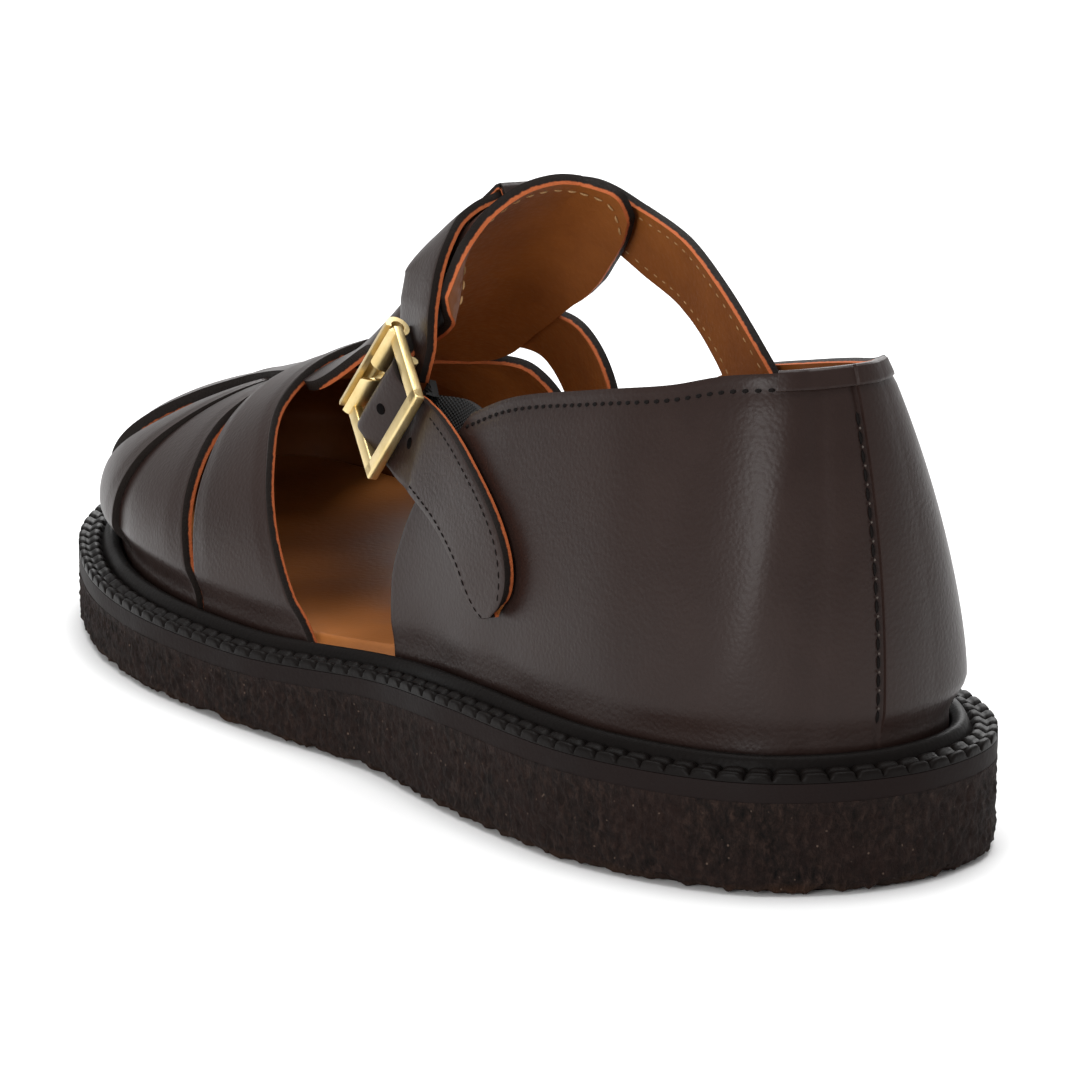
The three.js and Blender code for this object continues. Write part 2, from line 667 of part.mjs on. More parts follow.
const QUARTER_ROWS = 34;
const QUARTER_COLUMNS = 6;
const quarter = sheet(QUARTER_ROWS, QUARTER_COLUMNS, (i, j, layer) => {
  const a = (2 * i) / QUARTER_ROWS - 1;
  const b = shareAt(j, QUARTER_COLUMNS);
  const side = a < 0 ? 1 : -1;
  const front = read(QUARTER_FRONT, "b", "x", b);
  const x = HEEL_X + (front - HEEL_X) * (1 - Math.cos((Math.abs(a) * Math.PI) / 2));
  const v = b * read(TOPLINE, "x", "v", x);
  if (layer === 1) return onLast(side, x, v, -WALL);
  const across = Math.abs(loopAt(feather, loopPlace(feather, featherEnds, side, x)).y);
  const lap = side < 0 && x < 40 ? SEAM_STEP * Math.max(0, 1 - across / SEAM_LAP) : 0;
  const tab = j === QUARTER_COLUMNS && x < 30 && across < TAB_HALF_WIDTH ? TAB_STEP : 0;
  return onLast(side, x, v, lap + tab);
});

const STRAP_ROWS = 22;
function crossStrap(table, columns) {
  return sheet(STRAP_ROWS, columns, (i, j, layer) => {
    const side = i <= STRAP_ROWS / 2 ? 1 : -1;
    const v = shareAt(side > 0 ? i : STRAP_ROWS - i, STRAP_ROWS / 2);
    const share = j / columns;
    const of = (column) => read(table, "v", column, v);
    const rear = of(side > 0 ? "rear" : "rearInner");
    const front = of(side > 0 ? "front" : "frontInner");
    const x = rear + (front - rear) * share;
    const lift = of("liftRear") + (of("liftFront") - of("liftRear")) * share * share;
    return onLast(side, x, v, lift - (layer === 0 ? 0 : WALL));
  });
}

const CENTRE_COLUMNS = 12;
const centreRows = CENTRE.concat([{ x: TIP_X, outer: 0, inner: 0, lift: 0, flare: 0 }]);

// Share of the flare over the tongue: none on its inner half, easing off again towards its outer edge
function flareShare(side, x, v) {
  const across = side * (1 - v);
  const tuck = 0.95 * ease(across, 0.28, 0.4) * ease(x, 110.5, 115) * (1 - ease(x, 126, 138));
  return ease(across, -0.1, 0.25) * (1 - tuck);
}

const centre = sheet(
  centreRows.length - 1,
  CENTRE_COLUMNS,
  (i, j, layer) => {
    const row = centreRows[i];
    const side = j < CENTRE_COLUMNS / 2 ? 1 : -1;
    const up = shareAt(side > 0 ? j : CENTRE_COLUMNS - j, CENTRE_COLUMNS / 2);
    const edge = side > 0 ? row.outer : row.inner;
    const v = edge + up * (1 - edge);
    const toRim = Math.max(0, (RIM_END_X - row.x) / (RIM_END_X - CENTRE[0].x));
    const x = row.x + toRim * read(RIM, "side", "shift", side * (1 - v));
    const lift = row.lift + row.flare * flareShare(side, x, v);
    return onLast(side, x, v, lift - (layer === 0 ? 0 : WALL));
  },
  { end: true },
);

const upper = fromManifold(
  [crossStrap(STRAPS.front, 5), crossStrap(STRAPS.middle, 4), crossStrap(STRAPS.back, 3), centre, quarter]
    .map(toManifold)
    .reduce((sum, piece) => sum.add(piece), toManifold(margin)),
);

// Ankle strap, its keeper, the elastic and the buckle
const strapBand = band(STRAP_PATH, 2, STRAP_WIDTH, STRAP_THICKNESS, 2, 0);
const tailBand = band(TAIL_PATH, 2, STRAP_WIDTH, STRAP_THICKNESS, 2, TAIL_ROUND);
const strap = fromManifold(toManifold(strapBand.solid).add(toManifold(tailBand.solid)));
const elastic = band(ELASTIC_PATH, 3, ELASTIC_WIDTH, ELASTIC_THICKNESS, 1, 0).solid;

const keeperFrame = strapBand.frameAt(KEEPER_SEAT.row / (STRAP_PATH.length - 1));
const keeper = (() => {
  const half = STRAP_WIDTH / 2 + 2 * FIT_GAP;
  const lid = STRAP_THICKNESS / 2 + FIT_GAP;
  const outline = [
    { w: -half - KEEPER_THICKNESS, h: -1.3 },
    { w: -half - KEEPER_THICKNESS, h: lid * 0.6 },
    { w: -half, h: lid + KEEPER_THICKNESS },
    { w: half, h: lid + KEEPER_THICKNESS },
    { w: half + KEEPER_THICKNESS, h: lid * 0.6 },
    { w: half + KEEPER_THICKNESS, h: -1.3 },
  ];
  const hollow = [
    { w: -half, h: -1.3 },
    { w: -half, h: lid * 0.6 },
    { w: -half + 0.5, h: lid },
    { w: half - 0.5, h: lid },
    { w: half, h: lid * 0.6 },
    { w: half, h: -1.3 },
  ];
  return sheet(5, 1, (i, j, layer) => {
    const p = layer === 0 ? outline[i] : hollow[i];
    return keeperFrame.centre
      .clone()
      .addScaledVector(keeperFrame.across, p.w)
      .addScaledVector(keeperFrame.out, p.h)
      .addScaledVector(keeperFrame.along, (j - 0.5) * KEEPER_WIDTH);
  });
})();

function fromGeometry(geometry, matrix) {
  const moved = geometry.toNonIndexed().applyMatrix4(matrix);
  const position = moved.getAttribute("position");
  const points = [];
  const faces = [];
  for (let i = 0; i < position.count; i += 1) {
    points.push(new THREE.Vector3().fromBufferAttribute(position, i));
    if (i % 3 === 2) faces.push([i - 2, i - 1, i]);
  }
  return body(points, faces);
}

function barAlongAcross(radius, length, sides, along, lift) {
  const geometry = new THREE.CylinderGeometry(radius, radius, length, sides);
  const matrix = new THREE.Matrix4().makeTranslation(along, 0, lift).premultiply(buckleBasis);
  return toManifold(fromGeometry(geometry, matrix));
}

function barBox(sizeAlong, sizeAcross, sizeOut, along, across, lift) {
  const geometry = new THREE.BoxGeometry(sizeAlong, sizeAcross, sizeOut);
  const matrix = new THREE.Matrix4().makeTranslation(along, across, lift).premultiply(buckleBasis);
  return toManifold(fromGeometry(geometry, matrix));
}

const railAcross = (BUCKLE_WIDTH - BUCKLE_BAR) / 2;
const curlAlong = -BUCKLE_LENGTH / 2 + CURL_RADIUS;
const farAlong = (BUCKLE_LENGTH - BUCKLE_BAR) / 2;
const buckle = fromManifold(
  barAlongAcross(CURL_RADIUS, BUCKLE_WIDTH, 12, curlAlong, 0)
    .subtract(barAlongAcross(CURL_BORE, BUCKLE_WIDTH + 2, 8, curlAlong, 0))
    .subtract(barBox(2.6, 2.4, 2.4, curlAlong - 1.4, 0, 1.6))
    .add(barBox(BUCKLE_LENGTH - CURL_RADIUS, BUCKLE_BAR, BUCKLE_STOCK, CURL_RADIUS * 0.75, railAcross, 0))
    .add(barBox(BUCKLE_LENGTH - CURL_RADIUS, BUCKLE_BAR, BUCKLE_STOCK, CURL_RADIUS * 0.75, -railAcross, 0))
    .add(barBox(BUCKLE_BAR, BUCKLE_WIDTH, BUCKLE_STOCK, farAlong, 0, 0))
    .add(barAlongAcross(CENTRE_BAR_RADIUS, BUCKLE_WIDTH - 1, 10, 0, -1.4)),
);

// Final placing: heel-to-toe line along X, middle of the plan at the origin, tread on the floor
const swing = new THREE.Matrix4().makeRotationZ(THREE.MathUtils.degToRad(TOE_SWING_DEG));
const planBox = new THREE.Box3().setFromPoints(planPoints.map((p) => p.clone().applyMatrix4(swing)));
const planMiddle = planBox.getCenter(new THREE.Vector3());
const placing = new THREE.Matrix4().makeTranslation(-planMiddle.x, -planMiddle.y, 0).multiply(swing);

const object = new THREE.Group();
object.name = "fisherman_sandal";

function addNode(name, solid, look) {
  const geometry = new THREE.BufferGeometry();
  geometry.setAttribute(
    "position",
    new THREE.Float32BufferAttribute(solid.points.flatMap((p) => p.toArray()), 3),
  );
  geometry.setIndex(solid.faces.flat());
  geometry.applyMatrix4(placing);
  geometry.computeVertexNormals();
  const mesh = new THREE.Mesh(geometry, new THREE.MeshStandardMaterial(look));
  mesh.name = name;
  object.add(mesh);
}

addNode("outsole", outsole, { color: 0x2e2421, roughness: 0.95 });
addNode("midsole", midsole, { color: 0x2b1713, roughness: 0.7 });
addNode("welt", welt, { color: 0x1f1917, roughness: 0.5 });
addNode("insole", insole, { color: 0xa8692f, roughness: 0.6 });
addNode("upper", upper, { color: 0x3c3230, roughness: 0.45 });
addNode("ankle_strap", strap, { color: 0x3c3230, roughness: 0.45 });
addNode("strap_keeper", keeper, { color: 0x3c3230, roughness: 0.45 });
addNode("elastic", elastic, { color: 0x121212, roughness: 0.9 });
addNode("buckle", buckle, { color: 0xd8b45a, roughness: 0.35, metalness: 0.9 });

export default object;
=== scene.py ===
import math

import bpy
import numpy as np
from mathutils import Matrix, Vector, noise


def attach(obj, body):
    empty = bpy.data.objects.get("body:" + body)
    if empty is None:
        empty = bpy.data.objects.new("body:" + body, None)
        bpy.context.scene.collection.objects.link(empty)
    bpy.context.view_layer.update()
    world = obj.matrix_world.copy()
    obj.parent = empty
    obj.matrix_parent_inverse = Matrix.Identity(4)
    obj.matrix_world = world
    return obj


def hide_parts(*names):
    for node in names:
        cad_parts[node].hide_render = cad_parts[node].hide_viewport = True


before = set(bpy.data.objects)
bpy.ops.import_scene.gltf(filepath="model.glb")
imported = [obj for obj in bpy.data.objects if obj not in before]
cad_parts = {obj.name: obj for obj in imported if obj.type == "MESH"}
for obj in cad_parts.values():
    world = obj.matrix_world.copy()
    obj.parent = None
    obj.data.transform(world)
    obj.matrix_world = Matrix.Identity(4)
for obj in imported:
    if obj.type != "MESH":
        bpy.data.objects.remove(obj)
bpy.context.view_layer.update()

# Sizes in millimetres, the same as in the part's source
TOE_SWING_DEG = 6.6
WALL = 2.0
FEATHER_INSET = 7.9
SEAT_HEIGHT_HEEL = 19.6
SEAT_HEIGHT_BALL = 14.0
TOE_SPRING = 3.5
SPRING_START_X = 185
SPRING_RUN = 83
SHANK_X = (71, 154)
WELT_RIBS = 136
RIB_DEPTH = 0.8
RIB_HEIGHT = 0.5
BEAD_CREST = 2.2
FREE_OF_BEAD = BEAD_CREST + 0.7
INSOLE_TOP = 2.4
INSOLE_INSET = 10.8
SEAM_STEP = 0.6
SEAM_LAP = 10.0
STRAP_WIDTH = 15.0
STRAP_THICKNESS = 1.8
ELASTIC_WIDTH = 14.0
ELASTIC_THICKNESS = 1.2
BUCKLE_WIDTH = 20.0
BUCKLE_LENGTH = 19.0
BUCKLE_BAR = 2.0
BUCKLE_STOCK = 1.6
BUCKLE_LIFT = 4.2
CURL_RADIUS = 2.2
CURL_BORE = 1.2
KEEPER_WIDTH = 6.0
KEEPER_THICKNESS = 1.0
PLAN_STEPS = 1440

SOLE_PLAN = [
    (1.1, 0.0), (9.7, 23.5), (37.5, 37.6), (75.0, 39.0), (110.0, 35.8), (144.9, 39.3), (179.9, 39.2),
    (211.3, 31.7), (239.7, 16.2), (258.5, -6.4), (267.8, -30.9), (261.0, -49.5), (240.0, -58.4),
    (200.0, -58.5), (160.0, -49.2), (114.9, -35.7), (75.0, -33.8), (37.6, -36.7), (9.8, -23.3),
]
LAST = dict(
    x=(8.9, 40, 80, 110, 135, 160, 185, 210, 235, 252, 260.2),
    ridge_x=(42, 52, 84, 110, 135, 160, 184, 206, 222, 231, 236),
    ridge_y=(0, -1, -4, -8, -11, -14, -17, -20, -23, -25, -26.5),
    ridge_z=(113, 113, 108, 96, 79, 64.5, 54.3, 47.6, 43.6, 41.9, 40.8),
    rise=(0.4, 0.4, 0.4, 0.42, 0.45, 0.5, 0.52, 0.55, 0.58, 0.6, 0.62),
    swell=(5, 3, 3, 3, 4, 5, 7, 10, 12.5, 13, 13),
    crown=(0.54, 0.535, 0.56, 0.58, 0.62, 0.66, 0.68, 0.71, 0.72, 0.7, 0.68),
)
# Cross straps: rear and front edge on the outer and inner side, and lift over the last, at heights STRAP_V
STRAP_V = (0.0, 0.2, 0.4, 0.6, 0.8, 1.0)
FRONT_STRAP = dict(
    rear=(206, 208, 206.5, 204.5, 204, 205), front=(244, 240, 231, 221, 217, 216),
    rear_inner=(188, 190, 190, 194, 200, 205), front_inner=(244, 240, 231, 221, 217, 216),
    lift_rear=(1.1, 1.1, 1.1, 0.7, 0.3, -0.2), lift_front=(-0.25, -0.25, -0.25, -0.25, -0.35, -0.4),
)
MIDDLE_STRAP = dict(
    rear=(170, 176, 182, 190, 196, 199), front=(212, 214, 212, 209.5, 208, 208),
    rear_inner=(158, 156, 155, 161, 182, 199), front_inner=(195, 197, 197, 200, 204, 208),
    lift_rear=(0, 0, 0, 0, -0.1, -0.2), lift_front=(0, 0, 0, -0.1, -0.2, -0.4),
)
BACK_STRAP = dict(
    rear=(134, 146, 156, 166, 172, 175), front=(168, 172, 177, 184, 190, 193),
    rear_inner=(126, 125.5, 126, 133.5, 152, 175), front_inner=(153, 151, 149.5, 153, 174, 193),
    lift_rear=(0.1, 0.1, 0.1, 1.1, 1.7, 1.75), lift_front=(0.1, 0.1, 0.1, 0.8, 1.7, 1.8),
)
# Toe cap, centre strip and tongue: lower edge on each side, lift over the last and flare of the tongue
NECK_AND_CAP = (0.75, 0.8, 0.81, 0.81, 0.8, 0.77, 0.71, 0.6, 0.43, 0.26, 0.13, 0.06) + (0,) * 6
CENTRE = dict(
    x=(107, 109, 113, 118, 124, 131, 141, 150, 160, 168, 176, 186, 195, 204, 213, 220, 226, 231, 235, 238,
       240.2, 241.5, 242, 247, 252, 256, 259, 260.2),
    outer=(0.605, 0.585, 0.572, 0.57, 0.577, 0.595, 0.635, 0.665, 0.65, 0.68) + NECK_AND_CAP,
    inner=(0.74, 0.7, 0.672, 0.658, 0.66, 0.675, 0.69, 0.7, 0.7, 0.71) + NECK_AND_CAP,
    lift=(0,) * 11 + (0.2, 0.9, 1.3, 1.3, 1.1, 0.9, 0.6, 0.5, 0.5, 0.4, 0.3, 0.3, 0.2, 0.1, 0, 0, 0),
    flare=(5.5, 5.5, 5.5, 5.5, 5.2, 4, 2, 0.7) + (0,) * 20,
)
RIM_END_X = 131
RIM = dict(
    side=(-0.36, -0.3, -0.25, -0.2, -0.1, 0.0, 0.15, 0.25, 0.43),
    shift=(6, -1.5, -4.4, -4.8, -2, 0.6, 1.3, 4.2, 5),
)
TOPLINE = dict(x=(8.9, 20, 34, 56, 76, 93, 115), v=(0.514, 0.504, 0.478, 0.449, 0.427, 0.397, 0.366))
HEEL_LEAN = dict(slope=0.125, level=52, reach=22, start=30, end=90)
QUARTER_FRONT = dict(b=(0.0, 0.4, 0.62, 0.8, 0.92, 1.0), x=(111, 112, 109.5, 104.5, 99, 92))

# Middle lines of the bands. Rows of four lie on the last: side, station, height and offset.
# Rows of two lie at the buckle: along it and lift.
STRAP_PATH = (
    (-1, 65, 0.28, -3.8), (-1, 67.5, 0.36, -3.8), (-1, 71.5, 0.43, -3.8), (-1, 80, 0.5, -2.1),
    (-1, 92.5, 0.58, 0.6), (-1, 105, 0.67, 2.0), (-1, 114, 0.8, 2.1), (-1, 120, 0.91, 2.4),
    (1, 124, 0.97, 3.0), (1, 123, 0.85, 5.7), (1, 121.3, 0.76, 6.9), (1, 119, 0.69, 6.8),
    (1, 118.6, 0.62, 4.8), (1, 119.3, 0.555, 1.75), (1, 120.2, 0.505, 0.7),
)
TAIL_PATH = (
    (-10.5, -3.6), (-5.4, -3.3), (0, 0.9), (8.4, -3.0),
    (1, 102.4, 0.34, 2.1), (1, 90, 0.285, 1.8), (1, 76.5, 0.205, 1.8), (1, 71.5, 0.13, 1.8),
)
ELASTIC_PATH = (
    (1.4, -5.8), (7, -5.8), (1, 104, 0.37, -3.9), (1, 95, 0.342, -4.0), (1, 85, 0.315, -3.8),
)
KEEPER_ROW = 8.6
TAIL_ROUND = 0.12
BUCKLE_AT = dict(side=1, x=121.5, v=0.435, aim_x=111, aim_v=0.332, slide=1.2, shift=3.4)
BUCKLE_TURN_DEG = dict(along=9.7, across=3.0, out=-2.5)


# Reading the tables
def read(xs, ys, at):
    """Monotone cubic through a short table."""
    xs = np.asarray(xs, float)
    ys = np.asarray(ys, float)
    at = np.clip(np.asarray(at, float), xs[0], xs[-1])
    h = np.diff(xs)
    rate = np.diff(ys) / h
    slope = np.zeros(len(xs))
    slope[0], slope[-1] = rate[0], rate[-1]
    for k in range(1, len(xs) - 1):
        if rate[k - 1] * rate[k] > 0:
            w1 = 2 * h[k] + h[k - 1]
            w2 = h[k] + 2 * h[k - 1]
            slope[k] = (w1 + w2) / (w1 / rate[k - 1] + w2 / rate[k])
    i = np.clip(np.searchsorted(xs, at, side="left") - 1, 0, len(h) - 1)
    t = (at - xs[i]) / h[i]
    t2, t3 = t * t, t * t * t
    ends = ys[i] * (2 * t3 - 3 * t2 + 1) + ys[i + 1] * (3 * t2 - 2 * t3)
    return ends + h[i] * (slope[i] * (t3 - 2 * t2 + t) + slope[i + 1] * (t3 - t2))


def ease(at, start, end):
    t = np.clip((np.asarray(at, float) - start) / (end - start), 0, 1)
    return t * t * (3 - 2 * t)


def hump(distance, width):
    """One at the middle, none past the width: a soft ridge or trough."""
    return np.exp(-((np.asarray(distance) / width) ** 2) * 2.5)


def unit(vectors):
    return vectors / np.linalg.norm(vectors, axis=-1)[..., None]


# Sole heights and plan
def spring_at(x):
    return TOE_SPRING * np.clip((np.asarray(x, float) - SPRING_START_X) / SPRING_RUN, 0, None) ** 2


def seat_at(x):
    drop = SEAT_HEIGHT_HEEL - SEAT_HEIGHT_BALL
    return SEAT_HEIGHT_HEEL - drop * ease(x, *SHANK_X) + spring_at(x)


def plan_loop():
    glint_spots = np.array(SOLE_PLAN)
    n = len(glint_spots)
    out = []
    for i in range(n):
        p = [glint_spots[(i + k - 1) % n] for k in range(4)]
        t = [0.0]
        for k in range(3):
            t.append(t[-1] + math.sqrt(np.linalg.norm(p[k + 1] - p[k])))
        s = np.linspace(t[1], t[2], 200, endpoint=False)[:, None]
        a = [((t[k + 1] - s) * p[k] + (s - t[k]) * p[k + 1]) / (t[k + 1] - t[k]) for k in range(3)]
        b = [((t[k + 2] - s) * a[k] + (s - t[k]) * a[k + 1]) / (t[k + 2] - t[k]) for k in range(2)]
        out.append(((t[2] - s) * b[0] + (s - t[1]) * b[1]) / (t[2] - t[1]))
    ring = np.concatenate(out + [out[0][:1]])
    run = np.r_[0, np.cumsum(np.linalg.norm(np.diff(ring, axis=0), axis=1))]
    u = np.linspace(0, run[-1], PLAN_STEPS, endpoint=False)
    return np.stack([np.interp(u, run, ring[:, 0]), np.interp(u, run, ring[:, 1])], 1), run[-1]


PLAN, PLAN_LENGTH = plan_loop()
PLAN_TANGENT = np.roll(PLAN, -1, 0) - np.roll(PLAN, 1, 0)
PLAN_OUT = unit(np.stack([-PLAN_TANGENT[:, 1], PLAN_TANGENT[:, 0]], 1))
FEATHER = PLAN - PLAN_OUT * FEATHER_INSET
BACK = int(FEATHER[:, 0].argmin())
TIP = int(FEATHER[:, 0].argmax())
HEEL_X = FEATHER[BACK, 0]
TIP_X = FEATHER[TIP, 0]
SWING = math.radians(TOE_SWING_DEG)
TURN = np.array([[math.cos(SWING), -math.sin(SWING)], [math.sin(SWING), math.cos(SWING)]])
TURNED_PLAN = PLAN @ TURN.T
PLAN_MIDDLE = (TURNED_PLAN.min(0) + TURNED_PLAN.max(0)) / 2


def turn_to_frame(vectors):
    vectors = np.asarray(vectors, float)
    return np.concatenate([vectors[..., :2] @ TURN.T, vectors[..., 2:]], -1)


def to_frame(points):
    """From the last's millimetres to the row frame in metres."""
    return (turn_to_frame(points) - np.array([*PLAN_MIDDLE, 0])) * 0.001


def loop_at(loop, u):
    u = np.asarray(u, float) % PLAN_STEPS
    i = np.floor(u).astype(int)
    f = (u - i)[..., None]
    return loop[i % PLAN_STEPS] * (1 - f) + loop[(i + 1) % PLAN_STEPS] * f


def side_walk(loop, side):
    back, tip = int(loop[:, 0].argmin()), int(loop[:, 0].argmax())
    span = (tip - back) % PLAN_STEPS if side > 0 else (back - tip) % PLAN_STEPS
    k = np.arange(span + 1)
    return np.maximum.accumulate(loop[(back + side * k) % PLAN_STEPS, 0]), k, back


FEATHER_WALK = {side: side_walk(FEATHER, side) for side in (1, -1)}


def loop_place(side, x):
    outer = FEATHER_WALK[1]
    inner = FEATHER_WALK[-1]
    a = outer[2] + np.interp(x, outer[0], outer[1])
    b = inner[2] - np.interp(x, inner[0], inner[1])
    return np.where(np.asarray(side) > 0, a, b)


# Surface of the last
def clear_of_welt(x, z):
    return ease(z - seat_at(x), FREE_OF_BEAD, BEAD_CREST + 6)


def last_point(u, v):
    v = np.asarray(v, float)
    f = loop_at(FEATHER, u)
    x = f[..., 0]
    of = {c: read(LAST["x"], LAST[c], x) for c in LAST if c != "x"}
    ridge = np.stack([of["ridge_x"], of["ridge_y"], of["ridge_z"]], -1)
    foot = np.concatenate([f, (seat_at(x) - 0.4)[..., None]], -1)
    lower = foot.copy()
    lower[..., 2] += of["rise"] * (ridge[..., 2] - foot[..., 2])
    upper = ridge + (foot - ridge) * of["crown"][..., None]
    fall = read(LAST["ridge_x"], LAST["ridge_z"], ridge[..., 0] + 1)
    fall = (fall - read(LAST["ridge_x"], LAST["ridge_z"], ridge[..., 0] - 1)) / 2
    slope = np.clip(fall, -0.45, 0.2) * np.clip((x - 200) / 40, 0, 1)
    upper[..., 2] = ridge[..., 2] + slope * (upper[..., 0] - ridge[..., 0])
    h = v[..., None]
    w = 1 - h
    p = w**3 * foot + 3 * w * w * h * lower + 3 * w * h * h * upper + h**3 * ridge
    out = 3 * (1 - v) ** 2 * v * of["swell"] * clear_of_welt(x, p[..., 2])
    p[..., :2] += loop_at(PLAN_OUT, u) * out[..., None]
    p[..., 1] += inner_heel_lean(f, p[..., 2])
    return p


def inner_heel_lean(f, z):
    """Inner side of the heel: fuller just over the welt and drawn in towards the collar."""
    lean = HEEL_LEAN
    x = f[..., 0]
    share = ease(-f[..., 1], 0, lean["reach"]) * (1 - ease(x, lean["start"], lean["end"]))
    free = ease(z - seat_at(x), FREE_OF_BEAD, BEAD_CREST + 7)
    return lean["slope"] * (z - lean["level"]) * share * free


def last_normal(u, v):
    dv = 0.004
    v0 = np.minimum(v, 1 - dv)
    along = last_point(u + 1.5, v0) - last_point(u - 1.5, v0)
    up = last_point(u, v0 + dv) - last_point(u, v0 - dv)
    return unit(np.cross(up, along))


def on_last(side, x, v, off=0.0):
    side, x, v, off = (np.array(a, float) for a in np.broadcast_arrays(side, x, v, off))
    u = loop_place(side, x)
    here = last_normal(u, v)
    both = unit(here + last_normal(loop_place(-side, x), v))
    share = ease(v, 0.9, 1.0)[..., None]
    normal = unit(here * (1 - share) + both * share)
    p = last_point(u, v)
    free = np.where(off > 0, clear_of_welt(x, p[..., 2]), 1)
    return p + normal * (off * free)[..., None]


def normal_on_last(side, x, v):
    return last_normal(loop_place(side, x), np.minimum(v, 0.97))


# Frame of the buckle
def buckle_frame():
    b = BUCKLE_AT
    centre = on_last(b["side"], b["x"], b["v"], BUCKLE_LIFT)
    out = normal_on_last(b["side"], b["x"], b["v"])
    along = on_last(b["side"], b["aim_x"], b["aim_v"], BUCKLE_LIFT) - centre
    along = unit(along - out * (along @ out))
    across = np.cross(out, along)
    centre = centre + along * b["slide"] + across * b["shift"]
    t = BUCKLE_TURN_DEG
    axis = Vector(along * t["along"] + across * t["across"] + out * t["out"])
    turn = np.array(Matrix.Rotation(math.radians(axis.length), 3, axis.normalized()))
    return centre, turn @ along, turn @ across, turn @ out


BUCKLE_CENTRE, BUCKLE_ALONG, BUCKLE_ACROSS, BUCKLE_OUT = buckle_frame()


def at_buckle(along, across, lift):
    along, across, lift = (np.asarray(a, float)[..., None] for a in (along, across, lift))
    return BUCKLE_CENTRE + BUCKLE_ALONG * along + BUCKLE_ACROSS * across + BUCKLE_OUT * lift


# Curve through the rows of a path
def through(points, t):
    points = np.asarray(points, float)
    n = len(points)
    padded = np.vstack([2 * points[0] - points[1], points, 2 * points[-1] - points[-2]])
    p = np.clip(np.asarray(t, float), 0, 1) * (n - 1)
    i = np.minimum(np.floor(p).astype(int), n - 2)
    w = (p - i)[..., None]
    p0, p1, p2, p3 = (padded[i + k] for k in range(4))
    d0, d1, d2 = (np.maximum(np.linalg.norm(b - a, axis=-1) ** 0.5, 1e-4)[..., None]
                  for a, b in ((p0, p1), (p1, p2), (p2, p3)))
    t1 = ((p1 - p0) / d0 - (p2 - p0) / (d0 + d1) + (p2 - p1) / d1) * d1
    t2 = ((p2 - p1) / d1 - (p3 - p1) / (d1 + d2) + (p3 - p2) / d2) * d1
    return p1 + t1 * w + (3 * (p2 - p1) - 2 * t1 - t2) * w**2 + (2 * (p1 - p2) + t1 + t2) * w**3


class Band:
    """Band of one width along a path: middle, direction and facing at each share of its length."""

    def __init__(self, path):
        on = [len(row) == 4 for row in path]
        self.spots = np.array([on_last(*r) if o else at_buckle(r[0], 0.0, r[1]) for r, o in zip(path, on)])
        self.facing = np.array([normal_on_last(*r[:3]) if o else BUCKLE_OUT for r, o in zip(path, on)])
        t = np.linspace(0, 1, 1201)
        run = np.r_[0, np.cumsum(np.linalg.norm(np.diff(through(self.spots, t), axis=0), axis=1))]
        self.length = run[-1]
        self.shares = (run / run[-1], t)

    def at(self, t):
        centre = through(self.spots, t)
        ahead = through(self.spots, np.minimum(t + 0.002, 1))
        along = unit(ahead - through(self.spots, np.maximum(t - 0.002, 0)))
        out = through(self.facing, t)
        out = unit(out - along * (out * along).sum(-1)[..., None])
        return centre, along, np.cross(out, along), out

    def even(self, s):
        """The path's own share at an even share of its length."""
        return np.interp(s, *self.shares)


STRAP = Band(STRAP_PATH)
TAIL = Band(TAIL_PATH)
ELASTIC = Band(ELASTIC_PATH)


# Making pieces
def deselect():
    bpy.ops.object.select_all(action="DESELECT")


def only(obj):
    deselect()
    obj.select_set(True)
    bpy.context.view_layer.objects.active = obj


def added(operation, **values):
    """The object that an operation adds."""
    deselect()
    operation(**values)
    return bpy.context.active_object


def apply(obj, kind, **values):
    only(obj)
    modifier = obj.modifiers.new(kind.lower(), kind)
    for key, value in values.items():
        setattr(modifier, key, value)
    bpy.ops.object.modifier_apply(modifier=modifier.name)


def bevel(obj, width, segments, angle):
    """Rounds the edges sharper than the angle in degrees."""
    limit = math.radians(angle)
    apply(obj, "BEVEL", width=width, segments=segments, limit_method="ANGLE", angle_limit=limit)


def faces_outward(obj):
    in_edit(obj, lambda: bpy.ops.mesh.normals_make_consistent(inside=False))


def in_edit(obj, *steps):
    only(obj)
    bpy.ops.object.mode_set(mode="EDIT")
    bpy.ops.mesh.select_all(action="SELECT")
    for step in steps:
        step()
    bpy.ops.object.mode_set(mode="OBJECT")


def add_attribute(mesh, name, values):
    mesh.attributes.new(name, "FLOAT", "POINT").data.foreach_set("value", np.asarray(values, np.float32))


